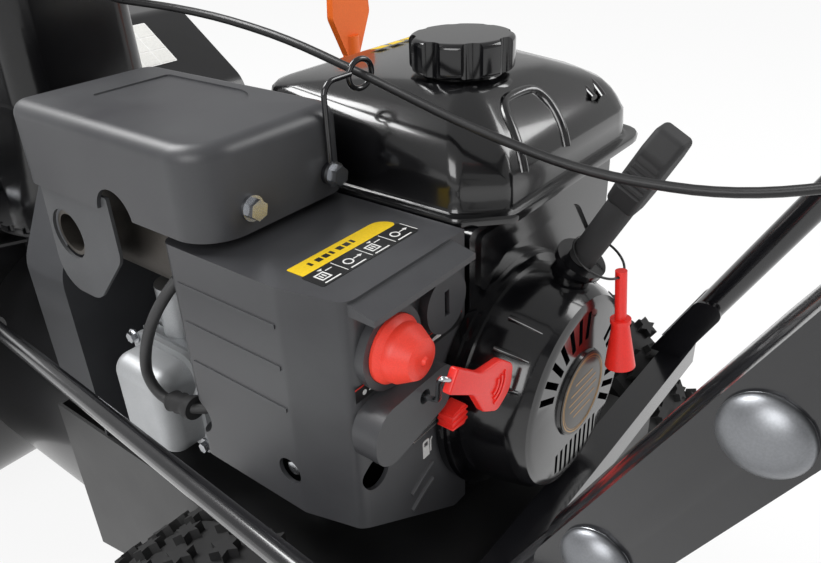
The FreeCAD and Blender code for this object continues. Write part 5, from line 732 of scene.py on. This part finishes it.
# ------------------------------------------------------------------ hood trim
@dataclass
class HoodTrim:
    """Labels, icons, ribs and the recessed bolt of the engine's side hood."""

    bench: Former
    top: float = 528.0
    rear: float = 68.0
    left: float = 161.5

    def top_label(self) -> None:
        """Black field of four plain diagrams under a yellow strip."""
        place = Place((145.0, 45.0, self.top + 0.05), RIGHTWARD, (0, -1, 0))
        field = rounded([(0, 0), (90, 0), (90, 18), (0, 18)], [2, 5, 2, 2])
        self.bench.mark("hood_label_field", [field], place, 0.25, LABEL_BLACK, "charcoal")
        strip = rounded([(2, 18), (90, 18), (84, 32), (2, 32)], [1, 8, 12, 1])
        self.bench.mark("hood_label_strip", [strip], place, 0.3, LABEL_YELLOW, "charcoal")
        raised = Place((145.0, 45.0, self.top + 0.3), RIGHTWARD, (0, -1, 0))
        loops = []
        for cell in range(4):
            x = 4 + 22 * cell
            loops += [bar(x, 1.6, x + 13, 2.6), bar(x + 19, 2, x + 19.5, 16.5)]
            if cell % 2:
                loops += [ring(3.6, (x + 5, 9), 20), ring(2.6, (x + 5, 9), 20),
                          bar(x + 9.4, 8.6, x + 14, 9.4),
                          [(x + 14, 7.4), (x + 17, 9), (x + 14, 10.6)]]
            else:
                loops += [bar(x + 1, 5, x + 9, 13), bar(x + 2, 6, x + 8, 12),
                          bar(x + 3.2, 7.2, x + 4.2, 11), bar(x + 5.6, 7.2, x + 6.6, 11),
                          bar(x + 10.5, 12, x + 16, 12.8),
                          [(x + 9, 14), (x + 11, 16), (x + 7, 16)]]
        self.bench.mark("hood_label_marks", loops, raised, 0.15, LABEL_WHITE, "charcoal")
        inked = Place((145.0, 45.0, self.top + 0.36), RIGHTWARD, (0, -1, 0))
        dashes = [bar(14 + 6.2 * i, 23, 14 + 6.2 * i + (4.4 if i % 3 else 2.2), 27.4)
                  for i in range(7)]
        self.bench.mark("hood_label_dashes", dashes, inked, 0.12, LABEL_BLACK, "charcoal")

    def rear_strip(self) -> None:
        """Black strip over the shroud with a red line and two opening wedges."""
        place = Place((151.0, self.rear + 0.05, 459.5), RIGHTWARD, UPWARD)
        self.bench.mark("hood_strip", [bar(0, 0, 108, 10)], place, 0.3, LABEL_BLACK, "charcoal")
        lifted = Place((151.0, self.rear + 0.3, 459.5), RIGHTWARD, UPWARD)
        self.bench.mark("hood_strip_line", [bar(0, 9.0, 108, 10)], lifted, 0.2,
                        LABEL_RED, "charcoal")
        wedges = [[(12, 3), (34, 4.4), (34, 4.9), (12, 4)], [(58, 3.4), (84, 2.6), (84, 6.2)],
                  ring(1.8, (8, 4.2), 12), ring(2.6, (92, 5), 16), ring(1.6, (92, 5), 16)]
        self.bench.mark("hood_strip_marks", wedges, lifted, 0.2, LABEL_WHITE, "charcoal")

    def icons(self) -> None:
        """Fuel pump sign and its plain bar."""
        place = Place((104.0, self.rear + 0.05, 372.0), RIGHTWARD, UPWARD)
        pump = [rounded([(14, 0), (21, 0), (21, 15), (14, 15)], [0.5, 0.5, 2, 2], 3),
                bar(15.4, 9.5, 19.6, 13),
                [(22, 2), (23.2, 2), (23.2, 11), (25, 13), (24.2, 13.8), (22, 11.6)],
                bar(4, 21, 34, 21.6), bar(4, 25, 34, 25.6), bar(4, 21, 4.6, 25.6),
                bar(33.4, 21, 34, 25.6)]
        self.bench.mark("hood_icons", pump, place, 0.3, LABEL_WHITE, "charcoal")

    def relief(self) -> None:
        """Two raised ribs under the sign, and the key's disc with its raised ring."""
        ribs = []
        for drop in (0, 15):
            ribs.append(self.bench.wire("rib", [(80, 66.4, 362 - drop), (87, 66.4, 360 - drop),
                                                (104, 66.4, 350 - drop)], 3.2))
        whole = self.bench.join(ribs, "hood_ribs")
        self.bench.done(whole, CHARCOAL_NYLON, "frame", "charcoal")
        key = Place((68.5, self.rear, 490.0), RIGHTWARD, UPWARD)
        slot = rounded(bar(-2.6, -7, 2.6, 9), [1, 1, 1, 1], 3)
        disc = self.bench.plate("key_disc", [ring(20.5, sides=64), slot], key, 3.4, 0.7)
        raised = Place((68.5, self.rear + 3.2, 490.0), RIGHTWARD, UPWARD)
        ridge = self.bench.plate("key_ridge", [rounded(bar(-9, -13, 9, 14), [9, 9, 9, 9]),
                                               rounded(bar(-6.4, -10.6, 6.4, 11.6), [6, 6, 6, 6])],
                                 raised, 1.4, 0.4)
        whole = self.bench.join([disc, ridge], "key_disc")
        self.bench.done(whole, COVER_POLY, "frame", "charcoal")

    def recess_bolt(self) -> None:
        """Flanged bolt sunk in the hood's lower left corner."""
        x = self.left - 9.0
        washer = self.bench.drum("recess_bolt", 8.5, (x - 2, 12, 385), (x, 12, 385))
        head = self.bench.drum("head", 5.6, (x, 12, 385), (x + 6, 12, 385), 6)
        self.bench.round_edges(head, 0.5, 2)
        whole = self.bench.join([washer, head], "recess_bolt")
        self.bench.done(whole, ZINC_STEEL, "frame", "steel")

    def build(self) -> None:
        """Build all the hood's trim."""
        self.top_label()
        self.rear_strip()
        self.icons()
        self.relief()
        self.recess_bolt()


# ------------------------------------------------------------------ auger housing's label
@dataclass
class HousingLabel:
    """Plain white label of nine empty cells on the auger housing's sloping top."""

    bench: Former
    corner: tuple[float, float, float] = (-147.0, -578.0, 504.4)
    cell: float = 24.0

    def build(self) -> None:
        """White field with nine grey cells."""
        along, upward = RIGHTWARD, (0, -0.813, 0.582)
        lift = Vector((0, 0.582, 0.813))
        place = Place(tuple(Vector(self.corner) + lift * 0.1), along, upward)
        side = 3 * self.cell + 2
        outline = rounded(bar(0, 0, side, side), [2, 2, 2, 2])
        self.bench.mark("housing_label", [outline], place, 0.3, LABEL_WHITE, "black_paint")
        lifted = Place(tuple(Vector(self.corner) + lift * 0.4), along, upward)
        starts = [self.cell * i for i in range(3)]
        cells = [bar(x + 2, y + 2, x + self.cell, y + self.cell) for x in starts for y in starts]
        self.bench.mark("housing_label_cells", cells, lifted, 0.2, RIM_ENAMEL, "black_paint")


# ------------------------------------------------------------------ controls on the engine
@dataclass
class EngineControls:
    """Throttle paddle on its wire and the ribs of the tap's tab.

    Attributes:
        bench: Where the pieces are made.
        pivot: The throttle's axis in millimetres.
        root: Near end of the paddle's blade, at its front face.
        lean: Direction of the blade in degrees.
        thick: The blade's thickness.
    """

    bench: Former
    pivot: tuple[float, float, float] = (108.0, 100.0, 446.0)
    root: tuple[float, float, float] = (132.0, 114.0, 487.0)
    lean: float = 214.5
    thick: float = 6.0

    def throttle(self) -> None:
        """Red paddle with three raised arcs, on a thin cranked wire."""
        turn = math.radians(self.lean)
        along = Vector((math.cos(turn), 0.0, math.sin(turn)))
        across = Vector((-along.z, 0.0, along.x))
        back = Vector(self.root) + Vector((0, self.thick, 0))
        edge = [(9, -8), (38, -7), (58, -17), (76, -16), (84, 0), (76, 16), (58, 17), (38, 7),
                (9, 8)]
        outer = rounded(edge, [2, 14, 8, 8, 12, 8, 8, 14, 2])
        place = Place(tuple(back), tuple(along), tuple(across))
        blade = self.bench.plate("throttle_blade", [outer], place, self.thick, 1.2)
        high = Place(tuple(back + Vector((0, 1.0, 0))), tuple(along), tuple(across))
        rims = []
        for radius in (7.0, 11.0, 15.0):
            arc = [(56 + (radius + w) * math.cos(a), (radius + w) * math.sin(a))
                   for w, span in ((0.9, range(-5, 6)), (-0.9, range(5, -6, -1)))
                   for a in (i * 0.16 for i in span)]
            rims.append(self.bench.plate("arc", [arc], high, 1.5, 0.3))
        paddle = self.bench.join([blade] + rims, "throttle_paddle")
        self.bench.done(paddle, RED_ACETAL, "throttle", "red_plastic")
        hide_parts("throttle_lever")
        centre = Vector(self.root) + Vector((0, self.thick / 2, 0))
        x, _, z = self.pivot
        wire = [(x, 58, z), (x, 90, z), (x + 1, 97, z + 3), (x + 10, 104, z + 18),
                tuple(centre + along * 2 + Vector((0, -3, 0))), tuple(centre + along * 8),
                tuple(centre + along * 16)]
        arm = self.bench.wire("throttle_arm", wire, 1.9)
        self.bench.done(arm, ZINC_STEEL, "throttle", "steel")

    def tap(self) -> None:
        """Three finger ribs along the tap's tab."""
        ribs = []
        for step in range(3):
            z = 406.5 + step * 4.6
            ribs.append(self.bench.block("tap_rib", (70.0, 79.0, z), (87.4, 92.0, z + 1.8)))
        whole = self.bench.join(ribs, "tap_ribs")
        self.bench.round_edges(whole, 0.5, 2)
        self.bench.done(whole, RED_ACETAL, "tap", "red_plastic")

    def build(self) -> None:
        """Build both controls."""
        self.throttle()
        self.tap()


# ------------------------------------------------------------------ starter cover
@dataclass
class StarterFace:
    """Badge and stiffening ribs of the starter cover."""

    bench: Former
    centre: tuple[float, float, float] = (-18.5, 132.0, 390.0)

    def build(self) -> None:
        """Plain badge with a fine gilt ring on a satin field."""
        x, y, z = self.centre
        place = Place((x, y, z), RIGHTWARD, UPWARD)
        field = self.bench.plate("badge_field", [ring(32.5, sides=80)], place, 0.8, 0.3)
        self.bench.done(field, BADGE_FIELD, "frame", "starter_black", 30)
        lifted = Place((x, y + 0.7, z), RIGHTWARD, UPWARD)
        lines = [ring(radius, sides=80) for radius in (30.5, 29.6, 28.4, 28.0)]
        for index, reach in enumerate((13, 19, 21, 19, 13)):
            height = 14 - index * 7
            lines.append(bar(-reach, height - 0.5, reach, height + 0.5))
        self.bench.mark("badge_lines", lines, lifted, 0.25, GILT_INK, "starter_black")
        ribs = []
        for angle in (28, 44, 60, 118, 134):
            a = math.radians(angle)
            out = Vector((math.cos(a), 0, math.sin(a)))
            foot = Vector((x, 0, z))
            ribs.append(self.bench.wire("rib", [foot + out * 84 + Vector((0, 94, 0)),
                                                foot + out * 82 + Vector((0, 104, 0)),
                                                foot + out * 77 + Vector((0, 118, 0))], 2.2))
        whole = self.bench.join(ribs, "starter_ribs")
        self.bench.done(whole, GLOSS_ABS, "frame", "starter_black")


# ------------------------------------------------------------------ tyres
@dataclass
class Tyre:
    """Snow tyre: smooth carcass with rows of star studs."""

    bench: Former
    side: int
    radius: float = 165.0
    tread: float = 156.0
    bore: float = 82.0
    width: float = 105.0
    track: float = 222.0

    def carcass(self) -> bpy.types.Object:
        """Round-shouldered ring with bead lines on its walls."""
        x, half = self.side * self.track, self.width / 2
        wall = [(0.62, self.bore), (0.9, self.bore + 8), (1.0, self.bore + 24),
                (1.02, self.bore + 40), (1.0, self.tread - 16), (0.93, self.tread - 6),
                (0.8, self.tread - 1)]
        profile = [(-half * share, reach) for share, reach in wall] + [(0, self.tread + 1.5)]
        profile += [(half * share, reach) for share, reach in reversed(wall)]
        rings = []
        for across, reach in profile:
            rings.append([(x + across, py, self.radius + pz) for py, pz in ring(reach, sides=72)])
        rings.append(rings[0])
        return self.bench.tower("carcass", rings)

    def studs(self) -> list[bpy.types.Object]:
        """Five rows of six-pointed studs, each row turned half a step."""
        made = []
        count = 22
        for index, share in enumerate((-0.84, -0.42, 0.0, 0.42, 0.84)):
            x = self.side * self.track + share * self.width / 2
            star = []
            for i in range(12):
                reach, turn = (11.5 if i % 2 else 6.0), math.tau * i / 12 + 0.26
                star.append((reach * math.cos(turn), reach * math.sin(turn)))
            place = Place((x, 0, self.radius + self.tread - 5), LEFTWARD, (0, 1, 0))
            depth = self.radius - self.tread + 4.6 - abs(share) * 3.0
            stud = self.bench.plate("stud", [star], place, depth)
            made += self.bench.copies(stud, count, (x, 0, self.radius), Axis.X,
                                      180.0 / count * (index % 2))
        return made

    def build(self) -> None:
        """Build the tyre over its plain solid."""
        name = "left_tyre" if self.side > 0 else "right_tyre"
        whole = self.bench.join([self.carcass()] + self.studs(), name + "_tread")
        self.bench.done(whole, TYRE_RUBBER, "wheels", "tyre", 30)
        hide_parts(name)


# ------------------------------------------------------------------ handles
@dataclass
class HandleLap:
    """Flattened lap of the upper tube over the lower one, with its domed bolts."""

    bench: Former
    side: int
    half: float = 238.5
    radius: float = 12.7
    angle: float = 61.15
    foot: tuple[float, float] = (129.3, 317.0)
    start: float = 246.0
    end: float = 430.0
    bolts: tuple[float, float] = (276.0, 350.0)

    def at(self, along: float, out: float = 0.0, wide: float = 0.0) -> Vector:
        """Point beside the handle's line: along it, outwards and across it."""
        a = math.radians(self.angle)
        return Vector((self.side * (self.half + out),
                       self.foot[0] + along * math.cos(a) + wide * math.sin(a),
                       self.foot[1] + along * math.sin(a) - wide * math.cos(a)))

    def section(self, along: float, inner: float, outer: float, wide: float) -> list[Vector]:
        """Oval section with its own reach inwards, outwards and across."""
        made = []
        for index in range(48):
            t = math.tau * index / 48
            c, s = math.cos(t), math.sin(t)
            reach = outer if c > 0 else inner
            squared = math.copysign(abs(c) ** 0.8, c)
            made.append(self.at(along, reach * squared, wide * math.copysign(abs(s) ** 0.9, s)))
        return made

    def sleeve(self) -> bpy.types.Object:
        """Lap that starts as a rounded tongue and swells into the round tube."""
        r = self.radius
        steps = [(self.start, 2.0, 15.0, 4.0), (self.start + 2, 6.0, 15.2, 8.0),
                 (self.start + 6, 10, 15.4, 11.5), (self.start + 12, r + 0.8, 15.5, r + 1.4),
                 (self.start + 60, r + 0.9, 15.5, r + 1.9),
                 (self.start + 122, r + 0.8, 15.5, r + 1.7),
                 (self.start + 140, r + 0.6, 14.8, r + 1.2),
                 (self.start + 160, r + 0.4, r + 0.9, r + 0.6),
                 (self.end, r + 0.2, r + 0.2, r + 0.2)]
        return self.bench.tower("lap", [self.section(*step) for step in steps])

    def dome(self, along: float) -> bpy.types.Object:
        """Domed bolt head with a fine rim."""
        rings = []
        for radius, lift in ((10.8, 14.9), (11.0, 15.6), (11.0, 16.6), (10.4, 17.6), (9.0, 18.9),
                             (7.0, 20.0), (4.5, 20.8), (2.0, 21.2)):
            rings.append([self.at(along + a, lift, w) for a, w in ring(radius, sides=48)])
        return self.bench.tower("dome", rings)

    def build(self) -> None:
        """Build the lap and its two bolt heads."""
        hand = "left" if self.side > 0 else "right"
        lap = self.sleeve()
        self.bench.done(lap, TUBE_BLACK, "frame", "tube_black", 50)
        lap.name = "handle_lap_" + hand
        heads = self.bench.join([self.dome(a) for a in self.bolts], "handle_domes_" + hand)
        self.bench.done(heads, DOME_ZINC, "frame", "steel", 50)


# ------------------------------------------------------------------ spark lead
@dataclass
class SparkLead:
    """Braided ignition lead from the plug's boot to the hood's notch."""

    bench: Former

    def build(self) -> None:
        """Build the lead as an arc held at both ends, with a ribbed boot."""
        line = [(150, -92, 492), (160, -98, 480), (166, -112, 456), (168, -124, 430),
                (168, -130, 408), (167, -122, 393), (165, -104, 389), (162, -90, 390),
                (154, -80, 390)]
        lead = self.bench.wire("spark_lead", line, 4.2)
        self.bench.done(lead, BRAIDED_SLEEVE, "frame", "cord_black", 60)
        rings = []
        for index, radius in enumerate((6.2, 8.4, 7.2, 8.4, 7.2, 8.4, 9.4, 9.4)):
            y = -112 + index * 3.4
            rings.append([(164 - index * 0.7 + px, y, 389.5 + pz)
                          for px, pz in ring(radius, sides=32)])
        boot = self.bench.tower("spark_boot", rings)
        self.bench.done(boot, GRIP_RUBBER, "frame", "cord_black", 40)


# ------------------------------------------------------------------ studio
@dataclass
class Studio:
    """Pale floor, soft lamps and the camera.

    Attributes:
        eye: The camera's place in metres from the datum.
        right: Direction to the camera's right.
        up: Direction above the camera.
        back: Direction behind the camera.
        lens: Focal length in millimetres.
        floor_glow: Share of the floor's own light in what the camera sees.
        sky_share: Strength of the sky as the object sees it.
    """

    eye: tuple[float, float, float] = (0.4058, 0.3212, 0.7412)
    right: tuple[float, float, float] = (-0.615, 0.787, -0.037)
    up: tuple[float, float, float] = (-0.406, -0.277, 0.871)
    back: tuple[float, float, float] = (0.675, 0.551, 0.49)
    lens: float = 33.76
    floor_glow: float = 0.9
    sky_share: float = 0.46

    def paper(self) -> bpy.types.Material:
        """White backdrop paper that reads as white behind the object."""
        made = bpy.data.materials.new("backdrop_paper")
        made.use_nodes = True
        tree = made.node_tree
        tree.nodes.clear()
        place = add(tree, "ShaderNodeTexCoord", {}, {}).outputs["Object"]
        fibre = add(tree, "ShaderNodeTexNoise", {}, {"Vector": place, "Scale": 400.0})
        tone = ramp(tree, fibre.outputs["Fac"],
                    [(0.3, linear("#f4f4f4")), (0.7, linear("#fafafa"))])
        matt = add(tree, "ShaderNodeBsdfDiffuse", {}, {"Color": tone})
        glow = add(tree, "ShaderNodeEmission", {}, {"Color": (1, 1, 1, 1), "Strength": 1.0})
        path = add(tree, "ShaderNodeLightPath", {}, {})
        seen = add(tree, "ShaderNodeMath", {"operation": "MAXIMUM"},
                   {0: path.outputs["Is Camera Ray"], 1: path.outputs["Is Glossy Ray"]})
        part = add(tree, "ShaderNodeMath", {"operation": "MULTIPLY"},
                   {0: seen.outputs[0], 1: self.floor_glow})
        mixed = add(tree, "ShaderNodeMixShader", {},
                    {"Fac": part.outputs[0], 1: matt.outputs["BSDF"], 2: glow.outputs["Emission"]})
        add(tree, "ShaderNodeOutputMaterial", {}, {"Surface": mixed.outputs["Shader"]})
        return made

    def floor(self) -> None:
        """Plain pale floor under the wheels."""
        bpy.ops.mesh.primitive_plane_add(size=30.0, location=(0.0, 0.0, -0.0005))
        floor = bpy.context.object
        floor.name = "floor"
        floor.data.materials.append(self.paper())

    def lamp(self, name: str, place: tuple, size: float, power: float) -> None:
        """Soft square lamp aimed at the engine."""
        data = bpy.data.lights.new(name, "AREA")
        data.size = size
        data.energy = power
        lamp = bpy.data.objects.new(name, data)
        bpy.context.scene.collection.objects.link(lamp)
        lamp.location = Vector(place) + DATUM
        aim = Vector((0.0, -0.1, 0.4)) - Vector(place)
        lamp.rotation_mode = "QUATERNION"
        lamp.rotation_quaternion = aim.to_track_quat("-Z", "Y")

    def sky(self) -> None:
        """White world, gentle on the object and full white to the camera."""
        world = bpy.data.worlds.new("studio")
        bpy.context.scene.world = world
        world.use_nodes = True
        tree = world.node_tree
        tree.nodes.clear()
        path = add(tree, "ShaderNodeLightPath", {}, {})
        seen = add(tree, "ShaderNodeMapRange", {},
                   {"Value": path.outputs["Is Camera Ray"],
                     "To Min": self.sky_share, "To Max": 1.0})
        back = add(tree, "ShaderNodeBackground", {},
                   {"Color": (1, 1, 1, 1), "Strength": seen.outputs["Result"]})
        add(tree, "ShaderNodeOutputWorld", {}, {"Surface": back.outputs["Background"]})

    def camera(self) -> None:
        """Camera over the operator's left handle."""
        data = bpy.data.cameras.new("camera")
        data.sensor_width = 36.0
        data.lens = self.lens
        data.clip_start = 0.02
        camera = bpy.data.objects.new("camera", data)
        bpy.context.scene.collection.objects.link(camera)
        turn = Matrix((self.right, self.up, self.back)).transposed().to_4x4()
        camera.matrix_world = Matrix.Translation(Vector(self.eye) + DATUM) @ turn
        bpy.context.scene.camera = camera

    def build(self) -> None:
        """Set up the whole studio."""
        self.sky()
        self.floor()
        self.lamp("key_lamp", (0.5, -1.5, 2.3), 1.2, 62.0)
        self.lamp("side_lamp", (2.0, 0.4, 1.5), 1.2, 24.0)
        self.lamp("rear_lamp", (-1.5, 1.3, 1.8), 1.2, 26.0)
        self.camera()
        bpy.context.scene.view_settings.view_transform = "Standard"


def main() -> None:
    """Build and dress the machine, then light it."""
    logging.basicConfig(level=logging.INFO, format="%(name)s: %(message)s")
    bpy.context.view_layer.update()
    bpy.ops.object.select_all(action="DESELECT")
    CadDress().dress_all(frame["nodes"], frame["record"])
    bench = Former()
    Tank(bench).build()
    HoodTrim(bench).build()
    HousingLabel(bench).build()
    EngineControls(bench).build()
    StarterFace(bench).build()
    for side in (1, -1):
        Tyre(bench, side).build()
        HandleLap(bench, side).build()
    SparkLead(bench).build()
    Studio().build()


if __name__ == "__main__":
    main()
